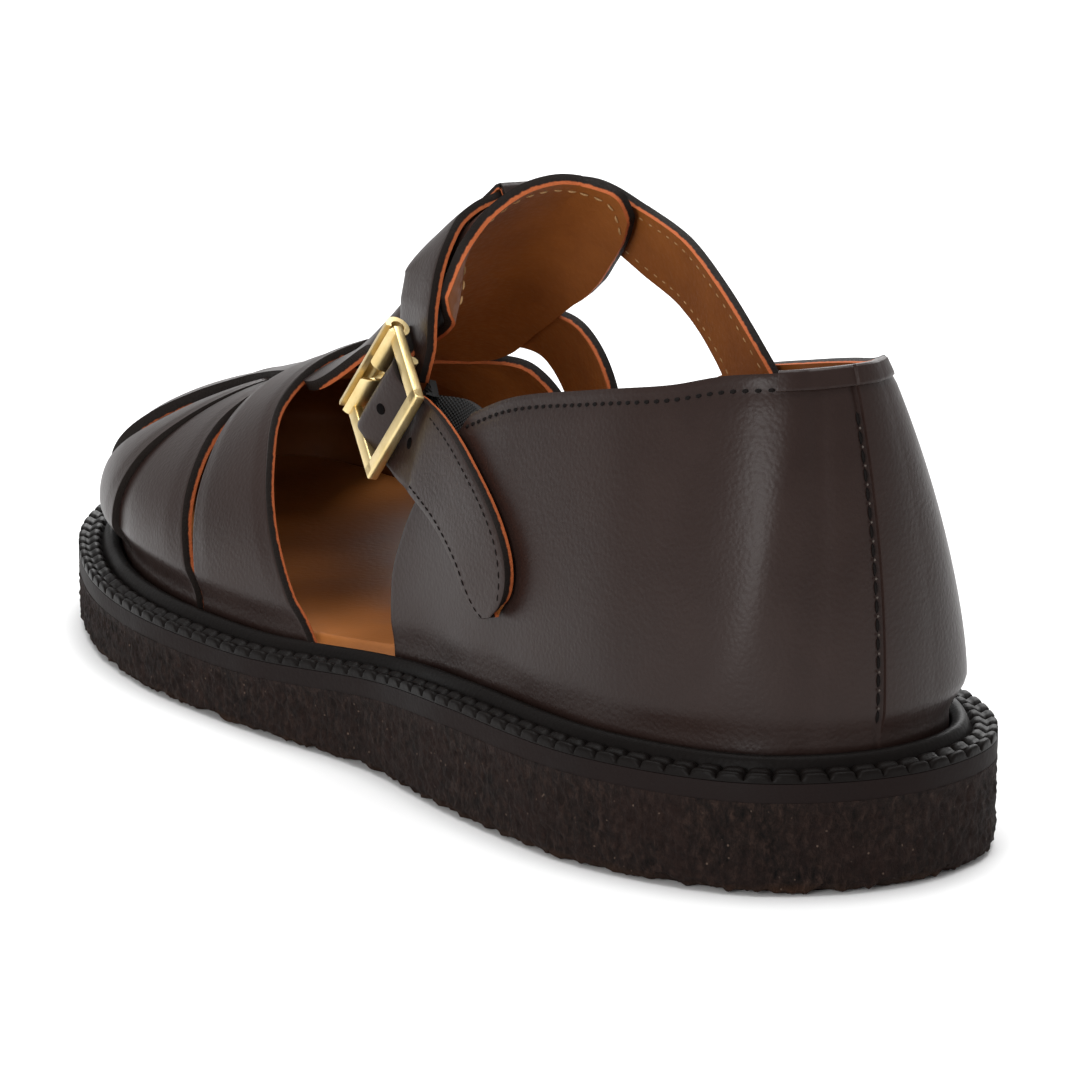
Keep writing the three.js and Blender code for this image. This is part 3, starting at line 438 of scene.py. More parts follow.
def shaped_grid(name, along, across, place, span=(1.0, 1.0), merge=0.0, flip=False, dyed=None):
    """A grid of along by across faces, laid on the last by place(u, v); its UV map runs in millimetres."""
    obj = added(bpy.ops.mesh.primitive_grid_add, x_subdivisions=along, y_subdivisions=across, size=1,
                calc_uvs=True)
    obj.name = obj.data.name = name
    mesh = obj.data
    flat = np.empty(len(mesh.vertices) * 3)
    mesh.vertices.foreach_get("co", flat)
    flat = flat.reshape(-1, 3)
    u = np.clip(flat[:, 0] + 0.5, 0, 1)
    v = np.clip(flat[:, 1] + 0.5, 0, 1)
    mesh.vertices.foreach_set("co", to_frame(place(u, v)).astype(np.float32).ravel())
    uv = mesh.uv_layers.active
    corner = np.empty(len(mesh.loops), dtype=np.int32)
    mesh.loops.foreach_get("vertex_index", corner)
    laid = np.stack([u[corner] * span[0], v[corner] * span[1]], 1)
    uv.data.foreach_set("uv", laid.astype(np.float32).ravel())
    if dyed is not None:
        add_attribute(mesh, "dyed", dyed(u, v))
    mesh.update()
    steps = []
    if flip:
        steps.append(bpy.ops.mesh.flip_normals)
    if merge:
        steps.append(lambda: bpy.ops.mesh.remove_doubles(threshold=merge * 0.001))
    if steps:
        in_edit(obj, *steps)
    return obj


def relax(obj, repeat):
    """Softens a grid inside its own edge."""
    in_edit(
        obj,
        bpy.ops.mesh.region_to_loop,
        lambda: bpy.ops.mesh.select_mode(type="VERT"),
        lambda: bpy.ops.mesh.select_all(action="INVERT"),
        lambda: bpy.ops.mesh.vertices_smooth(factor=0.5, repeat=repeat),
    )


def smooth(obj, angle):
    only(obj)
    bpy.ops.object.shade_smooth_by_angle(angle=math.radians(angle))


def cut_leather(obj, thickness, materials, rounding=0.35):
    """Gives a grid its wall: leather outside, lining inside, and a cut edge that knows its depth."""
    mesh = obj.data
    for material in materials:
        mesh.materials.append(material)
    count = len(mesh.vertices)
    apply(obj, "SOLIDIFY", thickness=thickness * 0.001, offset=-1.0, use_even_offset=False,
          material_offset=1, material_offset_rim=2)
    add_attribute(mesh, "depth", np.arange(len(mesh.vertices)) >= count)
    bevel(obj, rounding * 0.001, 2, 55)
    smooth(obj, 50)
    return obj


def dress(obj, material, angle):
    """Gives a piece its one material and smooth faces below the angle in degrees."""
    obj.data.materials.append(material)
    smooth(obj, angle)
    return obj


def settle(obj, node, slot):
    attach(obj, "root")
    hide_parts(node)


def join(name, pieces):
    deselect()
    for piece in pieces:
        piece.select_set(True)
    bpy.context.view_layer.objects.active = pieces[0]
    bpy.ops.object.join()
    obj = bpy.context.active_object
    obj.name = obj.data.name = name
    return obj


def stitches(name, points, facing, material, length, width, sink):
    """A row of thread stitches: one rounded stitch, laid again at each point along the row."""
    points = np.asarray(points, float)
    facing = unit(np.asarray(facing, float))
    step = np.gradient(points, axis=0)
    along = unit(step - facing * (step * facing).sum(1)[:, None])
    across = np.cross(facing, along)
    obj = added(bpy.ops.mesh.primitive_uv_sphere_add, segments=8, ring_count=6, radius=1)
    one = np.empty(len(obj.data.vertices) * 3)
    obj.data.vertices.foreach_get("co", one)
    one = one.reshape(-1, 3)
    faces = [list(p.vertices) for p in obj.data.polygons]
    bend = (1 - one[:, 0] ** 2) * 0.5
    rise = one[:, 2:] * width / 2 * 0.8 + bend[:, None] * width * 0.5 - sink
    laid = (points[:, None] + along[:, None] * one[None, :, :1] * length / 2
            + across[:, None] * one[None, :, 1:2] * width / 2 + facing[:, None] * rise[None])
    mesh = bpy.data.meshes.new(name)
    shapes = [[i + k * len(one) for i in f] for k in range(len(points)) for f in faces]
    mesh.from_pydata(to_frame(laid.reshape(-1, 3)).tolist(), [], shapes)
    mesh.update()
    old = obj.data
    obj.data = mesh
    bpy.data.meshes.remove(old)
    obj.name = name
    return dress(obj, material, 180)


def even_points(curve, pitch, start=0.0, end=1.0):
    """Shares at an even pitch in millimetres along curve(t)."""
    t = np.linspace(start, end, 600)
    run = np.r_[0, np.cumsum(np.linalg.norm(np.diff(curve(t), axis=0), axis=1))]
    return np.interp(np.arange(pitch / 2, run[-1], pitch), run, t)


# Materials
class Nodes:
    """Short way to add nodes to a tree and link them."""

    def __init__(self, tree):
        self.tree = tree

    def add(self, kind, **values):
        node = self.tree.nodes.new(kind)
        for key, value in values.items():
            if key.startswith("in_"):
                node.inputs[key[3:].replace("_", " ")].default_value = value
            else:
                setattr(node, key, value)
        return node

    def link(self, a, b):
        self.tree.links.new(a, b)

    def math(self, operation, a, b=0.5):
        node = self.add("ShaderNodeMath", operation=operation)
        for socket, value in zip(node.inputs, (a, b)):
            if isinstance(value, (int, float)):
                socket.default_value = value
            else:
                self.link(value, socket)
        return node.outputs[0]

    def ramp(self, factor, stops):
        node = self.add("ShaderNodeValToRGB")
        elements = node.color_ramp.elements
        while len(elements) < len(stops):
            elements.new(0.5)
        for element, (position, colour) in zip(elements, stops):
            element.position = position
            element.color = (*grey(colour), 1)
        self.link(factor, node.inputs[0])
        return node.outputs[0]

    def mix(self, factor, a, b):
        node = self.add("ShaderNodeMix", data_type="RGBA")
        for socket, value in ((node.inputs[0], factor), (node.inputs[6], a), (node.inputs[7], b)):
            if isinstance(value, (int, float)):
                socket.default_value = value
            elif isinstance(value, tuple):
                socket.default_value = (*value, 1)
            else:
                self.link(value, socket)
        return node.outputs[2]

    def noise(self, vector, scale, detail=4.0, roughness=0.55, distortion=0.0):
        node = self.add("ShaderNodeTexNoise", in_Scale=scale, in_Detail=detail, in_Roughness=roughness,
                        in_Distortion=distortion)
        self.link(vector, node.inputs["Vector"])
        return node.outputs["Fac"]

    def voronoi(self, vector, scale):
        node = self.add("ShaderNodeTexVoronoi", in_Scale=scale)
        self.link(vector, node.inputs["Vector"])
        return node.outputs["Distance"]


def grey(value):
    return value if isinstance(value, tuple) else (value, value, value)


def leather_grain_group():
    """Pebble of fine leather with its pores: height for the bump, tone for colour and gloss."""
    tree = bpy.data.node_groups.new("leather_grain", "ShaderNodeTree")
    tree.interface.new_socket("Vector", in_out="INPUT", socket_type="NodeSocketVector")
    for title, way in (("Cells", "INPUT"), ("Height", "OUTPUT"), ("Tone", "OUTPUT")):
        tree.interface.new_socket(title, in_out=way, socket_type="NodeSocketFloat")
    n = Nodes(tree)
    place, size = n.add("NodeGroupInput").outputs[:2]
    leave = n.add("NodeGroupOutput")
    wobble = n.add("ShaderNodeTexNoise", in_Scale=420.0, in_Detail=2.0)
    n.link(place, wobble.inputs["Vector"])
    shift = n.add("ShaderNodeVectorMath", operation="MULTIPLY_ADD")
    n.link(wobble.outputs["Color"], shift.inputs[0])
    shift.inputs[1].default_value = (0.0006, 0.0006, 0.0006)
    n.link(place, shift.inputs[2])
    cells = n.add("ShaderNodeTexVoronoi", feature="SMOOTH_F1", in_Smoothness=0.6)
    n.link(shift.outputs[0], cells.inputs["Vector"])
    n.link(size, cells.inputs["Scale"])
    pebble = n.math("SUBTRACT", 1.0, cells.outputs["Distance"])
    fine = n.noise(place, 3200.0, 3.0)
    height = n.math("ADD", n.math("MULTIPLY", pebble, 0.7), n.math("MULTIPLY", fine, 0.3))
    n.link(height, leave.inputs["Height"])
    n.link(n.noise(place, 42.0, 5.0, 0.6), leave.inputs["Tone"])
    return tree


LEATHER_GRAIN = leather_grain_group()


class Surface(Nodes):
    """A new material with its shader, and short ways to drive the shader's inputs."""

    def __init__(self, name):
        self.material = bpy.data.materials.new(name)
        self.material.use_nodes = True
        super().__init__(self.material.node_tree)
        self.shader = self.tree.nodes["Principled BSDF"]
        self.place = self.add("ShaderNodeTexCoord").outputs["Object"]

    def drive(self, socket, factor, low, high, start=0.3, end=0.7):
        """Takes an input from low to high while the factor passes from start to end."""
        self.link(self.ramp(factor, [(start, low), (end, high)]), self.shader.inputs[socket])

    def bump(self, height, distance):
        node = self.add("ShaderNodeBump", in_Distance=distance, in_Strength=1.0)
        self.link(height, node.inputs["Height"])
        self.link(node.outputs["Normal"], self.shader.inputs["Normal"])

    def set(self, **values):
        for key, value in values.items():
            self.shader.inputs[key.replace("_", " ")].default_value = value
        return self.material

    def grain(self, cells):
        node = self.add("ShaderNodeGroup")
        node.node_tree = LEATHER_GRAIN
        node.inputs["Cells"].default_value = cells
        self.link(self.place, node.inputs["Vector"])
        return node.outputs["Height"], node.outputs["Tone"]


def smooth_leather(name, dark, light, gloss=(0.34, 0.44), coat=0.0, cells=1300.0, shine=0.3):
    look = Surface(name)
    height, tone = look.grain(cells)
    look.drive("Base Color", tone, dark, light)
    look.drive("Roughness", tone, *gloss)
    look.bump(height, 0.00006)
    return look.set(Coat_Weight=coat, Coat_Roughness=0.3, Specular_IOR_Level=shine)


def lining_leather(name, dark, light):
    look = Surface(name)
    height, tone = look.grain(900.0)
    look.drive("Base Color", tone, dark, light, 0.28, 0.72)
    look.drive("Roughness", height, 0.62, 0.48, 0.2, 0.8)
    look.bump(height, 0.00008)
    return look.set(Specular_IOR_Level=0.2)


def cut_edge(name, dark, raw):
    """Dyed cut edge of the leather, with the raw lining on its inner third where it is not dyed."""
    look = Surface(name)
    depth = look.add("ShaderNodeAttribute", attribute_name="depth").outputs["Fac"]
    dyed = look.add("ShaderNodeAttribute", attribute_name="dyed").outputs["Fac"]
    ragged = look.noise(look.place, 900.0, 3.0)
    level = look.math("ADD", depth, look.math("MULTIPLY", look.math("SUBTRACT", ragged, 0.5), 0.3))
    level = look.math("SUBTRACT", level, dyed)
    fibre = look.noise(look.place, 2600.0, 3.0)
    bright = look.mix(fibre, tuple(0.65 * c for c in raw), raw)
    colour = look.mix(look.ramp(level, [(0.62, 0), (0.74, 1)]), dark, bright)
    look.link(colour, look.shader.inputs["Base Color"])
    look.drive("Roughness", fibre, 0.55, 0.85, 0.2, 0.8)
    look.bump(fibre, 0.0001)
    return look.set(Specular_IOR_Level=0.15)


def thread(name, dark, light):
    look = Surface(name)
    twist = look.noise(look.place, 5200.0, 2.0)
    look.drive("Base Color", twist, dark, light)
    look.drive("Roughness", twist, 0.6, 0.85)
    look.bump(twist, 0.00008)
    return look.set(Specular_IOR_Level=0.1)


def crepe_rubber():
    """Crumbled crepe: dark brown, pitted, with pale specks, and a warm lighter rim at the floor that is a
    painted highlight.
    """
    look = Surface("crepe_rubber")
    stretch = look.add("ShaderNodeMapping", in_Scale=(1.0, 1.0, 0.6))
    look.link(look.place, stretch.inputs["Vector"])
    crumb = look.noise(stretch.outputs[0], 900.0, 6.0, 0.7, 0.4)
    fibre = look.noise(stretch.outputs[0], 2600.0, 4.0, 0.6)
    cloud = look.noise(look.place, 90.0, 3.0)
    pits = look.ramp(look.voronoi(look.place, 620.0), [(0.05, 0), (0.3, 1)])
    dark, brown, light = (0.002, 0.0012, 0.0009), (0.0105, 0.0052, 0.0038), (0.031, 0.0165, 0.0118)
    reddish, floor_highlight, pale = (0.0150, 0.0062, 0.0046), (0.040, 0.017, 0.0075), (0.10, 0.068, 0.052)
    body = look.ramp(crumb, [(0.34, dark), (0.52, brown), (0.70, light)])
    body = look.mix(look.ramp(cloud, [(0.35, 0), (0.7, 0.6)]), body, reddish)
    # Painted highlight: a warm lighter brown mixed in towards the floor, by the height of each point
    height_of = look.add("ShaderNodeSeparateXYZ")
    look.link(look.place, height_of.inputs[0])
    low = look.math("MULTIPLY", height_of.outputs["Z"], 260.0)
    low = look.math("ADD", low, look.math("MULTIPLY", cloud, 0.9))
    body = look.mix(look.ramp(low, [(0.45, 0.75), (0.95, 0)]), body, floor_highlight)
    speck = look.ramp(look.voronoi(look.place, 520.0), [(0.07, 1), (0.12, 0)])
    patch = look.ramp(look.noise(look.place, 210.0, 2.0), [(0.46, 0), (0.54, 1)])
    chosen = look.math("MULTIPLY", speck, patch)
    look.link(look.mix(chosen, body, pale), look.shader.inputs["Base Color"])
    look.drive("Roughness", crumb, 0.95, 0.7, 0.3, 0.75)
    height = look.math("ADD", crumb, look.math("MULTIPLY", fibre, 0.4))
    look.bump(look.math("ADD", height, look.math("MULTIPLY", pits, 0.2)), 0.0009)
    return look.set(Specular_IOR_Level=0.16)


def brass():
    look = Surface("satin_brass")
    cloud = look.noise(look.place, 260.0, 4.0)
    fine = look.noise(look.place, 3800.0, 2.0)
    look.drive("Base Color", cloud, (0.66, 0.50, 0.22), (0.80, 0.64, 0.34))
    look.drive("Roughness", fine, 0.32, 0.44)
    look.bump(fine, 0.00003)
    return look.set(Metallic=1.0)


def elastic_web():
    """Black woven elastic: fine ribs along it, a weave across, and bright crossings."""
    look = Surface("elastic_web")
    split = look.add("ShaderNodeSeparateXYZ")
    look.link(look.add("ShaderNodeUVMap").outputs[0], split.inputs[0])
    along = look.math("SINE", look.math("MULTIPLY", split.outputs["X"], 2 * math.pi / 0.9))
    across = look.math("SINE", look.math("MULTIPLY", split.outputs["Y"], 2 * math.pi / 0.7))
    weave = look.math("MULTIPLY", along, across)
    glint = look.ramp(weave, [(0.72, 0), (0.95, 1)])
    look.link(look.mix(glint, (0.004, 0.004, 0.004), (0.05, 0.05, 0.052)), look.shader.inputs["Base Color"])
    look.drive("Roughness", glint, 0.8, 0.35, 0.0, 1.0)
    look.bump(weave, 0.0002)
    return look.material


def pale_floor():
    look = Surface("pale_floor")
    look.drive("Base Color", look.noise(look.place, 2.0, 2.0), 0.90, 0.92, 0.0, 1.0)
    return look.set(Roughness=0.9)


BROWN = smooth_leather("brown_leather", (0.0145, 0.0070, 0.0055), (0.0205, 0.0108, 0.0086), shine=0.2)
LINING = lining_leather("tan_lining", (0.15, 0.043, 0.008), (0.24, 0.078, 0.015))
EDGE = cut_edge("cut_edge", (0.0085, 0.0055, 0.0042), (0.46, 0.115, 0.036))
FOOTBED = smooth_leather(
    "footbed_leather", (0.27, 0.090, 0.018), (0.37, 0.13, 0.030), (0.42, 0.55), coat=0.05, cells=900.0)
WELT_LEATHER = smooth_leather(
    "welt_leather", (0.0026, 0.0018, 0.0015), (0.0048, 0.0033, 0.0028), (0.4, 0.55), shine=0.08)
MID_RUBBER = smooth_leather(
    "midsole_rubber", (0.0045, 0.0019, 0.0016), (0.0075, 0.0034, 0.0028), (0.6, 0.75), shine=0.12)
# Near-black of the punched holes: painted shade, the holes are not cut through the strap
HOLE_SHADE = smooth_leather(
    "punched_hole_shade", (0.0015, 0.001, 0.001), (0.003, 0.002, 0.002), (0.8, 0.9), shine=0.05)
CREPE = crepe_rubber()
BRASS = brass()
WEB = elastic_web()
DARK_THREAD = thread("dark_thread", (0.002, 0.0014, 0.0012), (0.006, 0.004, 0.0035))
# Pale thread serves only the painted glints between the back seam's stitches
GLINT_THREAD = thread("painted_glint_thread", (0.05, 0.04, 0.035), (0.10, 0.085, 0.075))
TAN_THREAD = thread("tan_thread", (0.24, 0.13, 0.05), (0.44, 0.27, 0.13))
LEATHER = (BROWN, LINING, EDGE)


# Upper
QUARTER_ALONG = 341
QUARTER_UP = 52
QUARTER_HEIGHT = 44
BACK_END_X = 40
TOP_STITCH_GROOVE = dict(depth=0.3, below=2.0)
SEAM_GROOVE = dict(depth=0.25, across=0.7)
# Folds of pulled leather at the outer heel: height, distance from the seam, share of the slant, half-width
HEEL_FOLDS = ((-0.5, 8.6, 0.3, 3.6), (0.55, 12.6, 1.0, 5), (0.5, 17.5, 1.0, 9))
FOLD_SLANT = 13.5
FOLD_FADE_X = (24, 42)
# Shallow dent of the sides, and the waves where the leather is pulled under the foot
SIDE_DENT = dict(depth=0.35, x=52, half_length=18)
PULL_HEIGHT = 0.18


def quarter_at(a, b):
    """Side, station and height: a from -1 at the outer front over the seam to 1, b up to the top line."""
    front = read(QUARTER_FRONT["b"], QUARTER_FRONT["x"], b)
    x = HEEL_X + (front - HEEL_X) * (1 - np.cos(np.abs(a) * np.pi / 2))
    return np.where(a < 0, 1.0, -1.0), x, b * read(TOPLINE["x"], TOPLINE["v"], x)


def quarter_relief(a, b):
    """Soft dents and ridges of the quarter: seam lap, stitch grooves, and the waves of pulled leather."""
    side, x, _ = quarter_at(a, b)
    across = np.abs(loop_at(FEATHER, loop_place(side, x))[..., 1])
    outer = side > 0
    at_back = x < BACK_END_X
    lap = np.where(~outer & at_back, SEAM_STEP * np.clip(1 - across / SEAM_LAP, 0, None), 0.0)
    seam = -SEAM_GROOVE["depth"] * hump(across - SEAM_GROOVE["across"], 1.0) * (outer & at_back)
    groove = -TOP_STITCH_GROOVE["depth"] * hump((1 - b) * QUARTER_HEIGHT - TOP_STITCH_GROOVE["below"], 1.0)
    slant = FOLD_SLANT * np.clip(1 - b, 0, 1) ** 1.3
    folds = sum(h * hump(across - at - share * slant, width) for h, at, share, width in HEEL_FOLDS)
    folds *= np.where(outer, hump(b - 0.6, 1.1), 0.0) * (1 - ease(x, *FOLD_FADE_X))
    dent = -SIDE_DENT["depth"] * hump(x - SIDE_DENT["x"], SIDE_DENT["half_length"]) * hump(b - 0.5, 0.8)
    pull = PULL_HEIGHT * np.sin(x * 0.22 + b * 5) * hump(b - 0.12, 0.14)
    return lap + groove + seam + folds + dent + pull


def make_quarter():
    gap = 1 / QUARTER_ALONG
    tiny = 1e-4

    def place(u, b):
        a = 2 * u - 1
        a = np.sign(a) * (np.clip(np.abs(a) - gap, 0, None) / (1 - gap) + tiny)
        a = np.clip(a, -1, 1)
        return on_last(*quarter_at(a, b), quarter_relief(a, b))

    obj = shaped_grid("quarter", QUARTER_ALONG, QUARTER_UP, place, span=(280, 46))
    return cut_leather(obj, WALL, LEATHER)


# Folded tab over the back of the top line: its two ends along the quarter, and the profile of its fold
TAB_A = (-0.215, 0.25)
TAB_FOLD = (
    (0.05, -3.0), (0.4, -2.95), (0.5, -2.6), (0.45, -1.2), (0.4, 0.0), (0.1, 0.4), (-0.5, 0.55),
    (-1.5, 0.55), (-2.1, 0.4), (-2.45, 0.0), (-2.5, -1.2), (-2.5, -2.6), (-2.4, -3.0),
)


def along_profile(profile, w):
    """Columns of a profile, read at the share w of its rows."""
    t = w * (len(profile) - 1)
    return [np.interp(t, range(len(profile)), column) for column in zip(*profile)]


def tab_place(u, w):
    a = TAB_A[0] + (TAB_A[1] - TAB_A[0]) * u
    a = np.where(np.abs(a) < 2e-4, 2e-4, a)
    one = np.ones_like(a)
    top = on_last(*quarter_at(a, one))
    side, x, v = quarter_at(a, one * 0.9)
    up = unit(top - on_last(side, x, v))
    share = (ease(x, HEEL_X, HEEL_X + 0.6) * 0.5 + 0.5)[:, None]
    out = unit(normal_on_last(side, x, v) * share + normal_on_last(-side, x, v) * (1 - share))
    reach, rise = (column[:, None] for column in along_profile(TAB_FOLD, w))
    lap = np.clip(quarter_relief(a, one * 0.9), 0, None)[:, None]
    return top + out * (reach + lap * (reach > 0)) + up * rise


def make_heel_tab():
    obj = shaped_grid("heel_tab", 90, 48, tab_place, span=(50, 9))
    return cut_leather(obj, 0.4, LEATHER, 0.1)


def strap_place(table, u, w, off):
    side = np.where(u < 0.5, 1.0, -1.0)
    v = 1 - np.abs(2 * u - 1)
    of = {c: read(STRAP_V, table[c], v) for c in table}
    rear = np.where(side > 0, of["rear"], of["rear_inner"])
    front = np.where(side > 0, of["front"], of["front_inner"])
    x = rear + (front - rear) * w
    lift = of["lift_rear"] + (of["lift_front"] - of["lift_rear"]) * w * w
    return on_last(side, x, v, lift + off)


CROSS_STRAP_CROWN = 0.3


def make_cross_strap(name, table, dip=0.0, dyed=None):
    def place(u, w):
        edge = np.minimum(w, 1 - w)
        v = 1 - np.abs(2 * u - 1)
        off = CROSS_STRAP_CROWN * (ease(edge, 0, 0.2) - 1) - dip * ease(w, 0.6, 0.85)
        return strap_place(table, u, w, off * ease(v, 0.05, 0.2))

    obj = shaped_grid(name, 220, 34, place, span=(170, 36), dyed=dyed)
    return cut_leather(obj, WALL, LEATHER)


CENTRE_X = np.array(CENTRE["x"][:-1] + (TIP_X,))
FLARE_ACROSS = (-0.1, 0.25)
TONGUE_TUCK = dict(share=0.95, across=(0.28, 0.4), start_x=(110.5, 115), end_x=(126, 138))


def flare_share(side, x, v):
    """Share of its flare that the tongue keeps: none on the inner side, little under the strap."""
    across = side * (1 - v)
    tuck = TONGUE_TUCK["share"] * ease(across, *TONGUE_TUCK["across"])
    tuck *= ease(x, *TONGUE_TUCK["start_x"]) * (1 - ease(x, *TONGUE_TUCK["end_x"]))
    return ease(across, *FLARE_ACROSS) * (1 - tuck)


def centre_place(row_x, j, off=0.0):
    """Point of the tongue, strip and toe cap: station row_x, and j from the outer edge to the inner."""
    side = np.where(j < 0.5, 1.0, -1.0)
    up = 1 - np.abs(2 * j - 1)
    of = {c: read(CENTRE_X, CENTRE[c], row_x) for c in ("outer", "inner", "lift", "flare")}
    edge = np.where(side > 0, of["outer"], of["inner"])
    v = edge + up * (1 - edge)
    to_rim = np.clip((RIM_END_X - row_x) / (RIM_END_X - CENTRE_X[0]), 0, None)
    x = row_x + to_rim * read(RIM["side"], RIM["shift"], side * (1 - v))
    lift = of["lift"] + of["flare"] * flare_share(side, x, v)
    return on_last(side, x, v, lift + off)


# Rows of the toe and tongue: share of the rows and station, with the last of them closing on the tip
CAP_SHARE = 0.80
CAP_X = 242
ROW_SHARES = (0, 0.10, 0.45, 0.62, CAP_SHARE, 1.0)
ROW_STATIONS = (CENTRE_X[0], 116, 195, 226, CAP_X, TIP_X)


def centre_row(u):
    """Station of each row: closer rows round the toe cap's edge and the tip."""
    row = np.interp(u, ROW_SHARES, ROW_STATIONS)
    near_tip = np.clip((u - CAP_SHARE) / (1 - CAP_SHARE), 0, 1)
    return np.where(u > CAP_SHARE, CAP_X + (TIP_X - CAP_X) * np.sin(near_tip * np.pi / 2), row)


TONGUE_END_X = (158, 168)
CAP_GAP = dict(start_x=(225, 229), end_x=(234, 238), raw=0.75)


def centre_dyed(u, j):
    """Where the cut edge is dyed through: all but the tongue and the gap behind the toe cap."""
    row = centre_row(u)
    gap = ease(row, *CAP_GAP["start_x"]) * (1 - ease(row, *CAP_GAP["end_x"]))
    return ease(row, *TONGUE_END_X) * (1 - CAP_GAP["raw"] * gap)


def make_toe_and_tongue():
    def place(u, j):
        return centre_place(centre_row(u), j)

    obj = shaped_grid("toe_cap_and_tongue", 260, 120, place, span=(170, 90), merge=0.02, flip=True,
                      dyed=centre_dyed)
    relax(obj, 60)
    return cut_leather(obj, WALL, LEATHER)


# Bands
def band_place(band, u, w, width, lift=0.0, round_end=0.0, end_share=0.05, crown=0.0):
    centre, _, across, out = band.at(band.even(u))
    share = np.ones_like(u)
    if round_end:
        k = np.clip((u - 1 + round_end) / round_end, 0, 1)
        share = np.sqrt(np.clip(1 - k * k * (1 - end_share**2), 0, 1))
    aside = (w - 0.5) * width * share
    pillow = crown * (1 - (2 * w - 1) ** 4)
    return centre + across * aside[..., None] + out * (lift + pillow)[..., None]


def make_band(name, band, faces, width, thickness, materials, round_end=0.0, crown=0.0, rounding=0.35):
    def place(u, w):
        return band_place(band, u, w, width, np.full_like(u, thickness / 2 - crown), round_end, crown=crown)

    obj = shaped_grid(name, *faces, place, span=(band.length, width))
    return cut_leather(obj, thickness, materials, rounding)


def make_straps():
    leather = (STRAP_WIDTH, STRAP_THICKNESS, LEATHER)
    return [
        make_band("ankle_strap", STRAP, (190, 18), *leather, crown=0.2),
        make_band("strap_tail", TAIL, (150, 18), *leather, TAIL_ROUND, crown=0.2),
    ]


def make_elastic():
    return make_band("elastic", ELASTIC, (60, 16), ELASTIC_WIDTH, ELASTIC_THICKNESS, (WEB,) * 3, rounding=0.2)


def make_keeper():
    centre, along, across, out = STRAP.at(np.array(KEEPER_ROW / (len(STRAP_PATH) - 1)))
    half = STRAP_WIDTH / 2 + 0.6
    lid = STRAP_THICKNESS / 2 + 0.1 + KEEPER_THICKNESS
    leg = half + KEEPER_THICKNESS
    outline = (
        (-leg, -1.3), (-leg, lid * 0.4), (-leg + 0.4, lid * 0.8), (-half + 0.7, lid), (0, lid + 0.05),
        (half - 0.7, lid), (leg - 0.4, lid * 0.8), (leg, lid * 0.4), (leg, -1.3),
    )

    def place(u, w):
        aside, rise = (column[:, None] for column in along_profile(outline, u))
        return centre + across * aside + out * rise + along * ((w - 0.5) * KEEPER_WIDTH)[:, None]

    obj = shaped_grid("strap_keeper", 48, 10, place, span=(30, KEEPER_WIDTH), flip=True)
    return cut_leather(obj, KEEPER_THICKNESS, LEATHER, 0.25)


# Buckle
def buckle_matrix():
    basis = np.stack([turn_to_frame(v) for v in (BUCKLE_ALONG, BUCKLE_ACROSS, BUCKLE_OUT)], 1)
    m = np.eye(4)
    m[:3, :3] = basis
    m[:3, 3] = to_frame(BUCKLE_CENTRE)
    return Matrix(m.tolist())


def stand_at_buckle(obj):
    """Moves a piece modelled in millimetres round the buckle's middle to its place."""
    obj.data.transform(buckle_matrix() @ Matrix.Scale(0.001, 4))
    obj.data.update()


def bar(size, place):
    obj = added(bpy.ops.mesh.primitive_cube_add, size=1, location=place, scale=size)
    bpy.ops.object.transform_apply(location=True, rotation=True, scale=True)
    bevel(obj, 0.4, 3, 30)
    return obj


# Rolled edge of the buckle: a strip of sheet curled into a tube, notched at its middle
CURL_START_DEG = -150
CURL_SWEEP_DEG = 330
NOTCH_DEG = 75
NOTCH_HALF_WIDTH = 1.5


def rolled_edge(near):
    curl = added(bpy.ops.mesh.primitive_grid_add, x_subdivisions=28, y_subdivisions=60, size=1)
    for vertex in curl.data.vertices:
        w = vertex.co.y * BUCKLE_WIDTH
        angle = CURL_START_DEG + CURL_SWEEP_DEG * (vertex.co.x + 0.5)
        notch = 1.3 * math.exp(-((w / NOTCH_HALF_WIDTH) ** 4))
        if notch >= 0.05:
            angle = max(angle, CURL_START_DEG + NOTCH_DEG * notch)
        angle = math.radians(angle)
        vertex.co = (near - CURL_RADIUS * math.sin(angle), w, -CURL_RADIUS * math.cos(angle))
    faces_outward(curl)
    apply(curl, "SOLIDIFY", thickness=CURL_RADIUS - CURL_BORE, offset=-1.0)
    bevel(curl, 0.2, 2, 50)
    return curl


def make_buckle():
    rail = (BUCKLE_WIDTH - BUCKLE_BAR) / 2
    far = (BUCKLE_LENGTH - BUCKLE_BAR) / 2
    near = -BUCKLE_LENGTH / 2 + CURL_RADIUS
    long = far + BUCKLE_BAR / 2 - near
    deep = BUCKLE_STOCK + 0.3
    parts = [bar((long, BUCKLE_BAR + 0.5, deep), (near + long / 2, side * rail, 0)) for side in (1, -1)]
    parts.append(bar((BUCKLE_BAR + 0.6, BUCKLE_WIDTH + 0.5, deep), (far - 0.1, 0, 0)))
    centre_bar = added(bpy.ops.mesh.primitive_cylinder_add, vertices=14, radius=0.9, depth=BUCKLE_WIDTH - 1,
                       location=(0, 0, -1.4), rotation=(math.pi / 2, 0, 0))
    bpy.ops.object.transform_apply(location=True, rotation=True, scale=True)
    parts += [centre_bar, rolled_edge(near)]
    obj = join("buckle", parts)
    stand_at_buckle(obj)
    return dress(obj, BRASS, 40)


# Sole
def ring_place(u, inset, z):
    at = u * PLAN_STEPS
    p = loop_at(PLAN, at)
    n = loop_at(PLAN_OUT, at)
    return np.concatenate([p - n * np.asarray(inset)[..., None], np.asarray(z)[..., None]], -1)


def sole_ring(name, steps, rows, place, height):
    """A closed ring round the sole's plan, its faces outward."""
    obj = shaped_grid(name, steps, rows, place, span=(PLAN_LENGTH, height), merge=0.01)
    faces_outward(obj)
    return obj


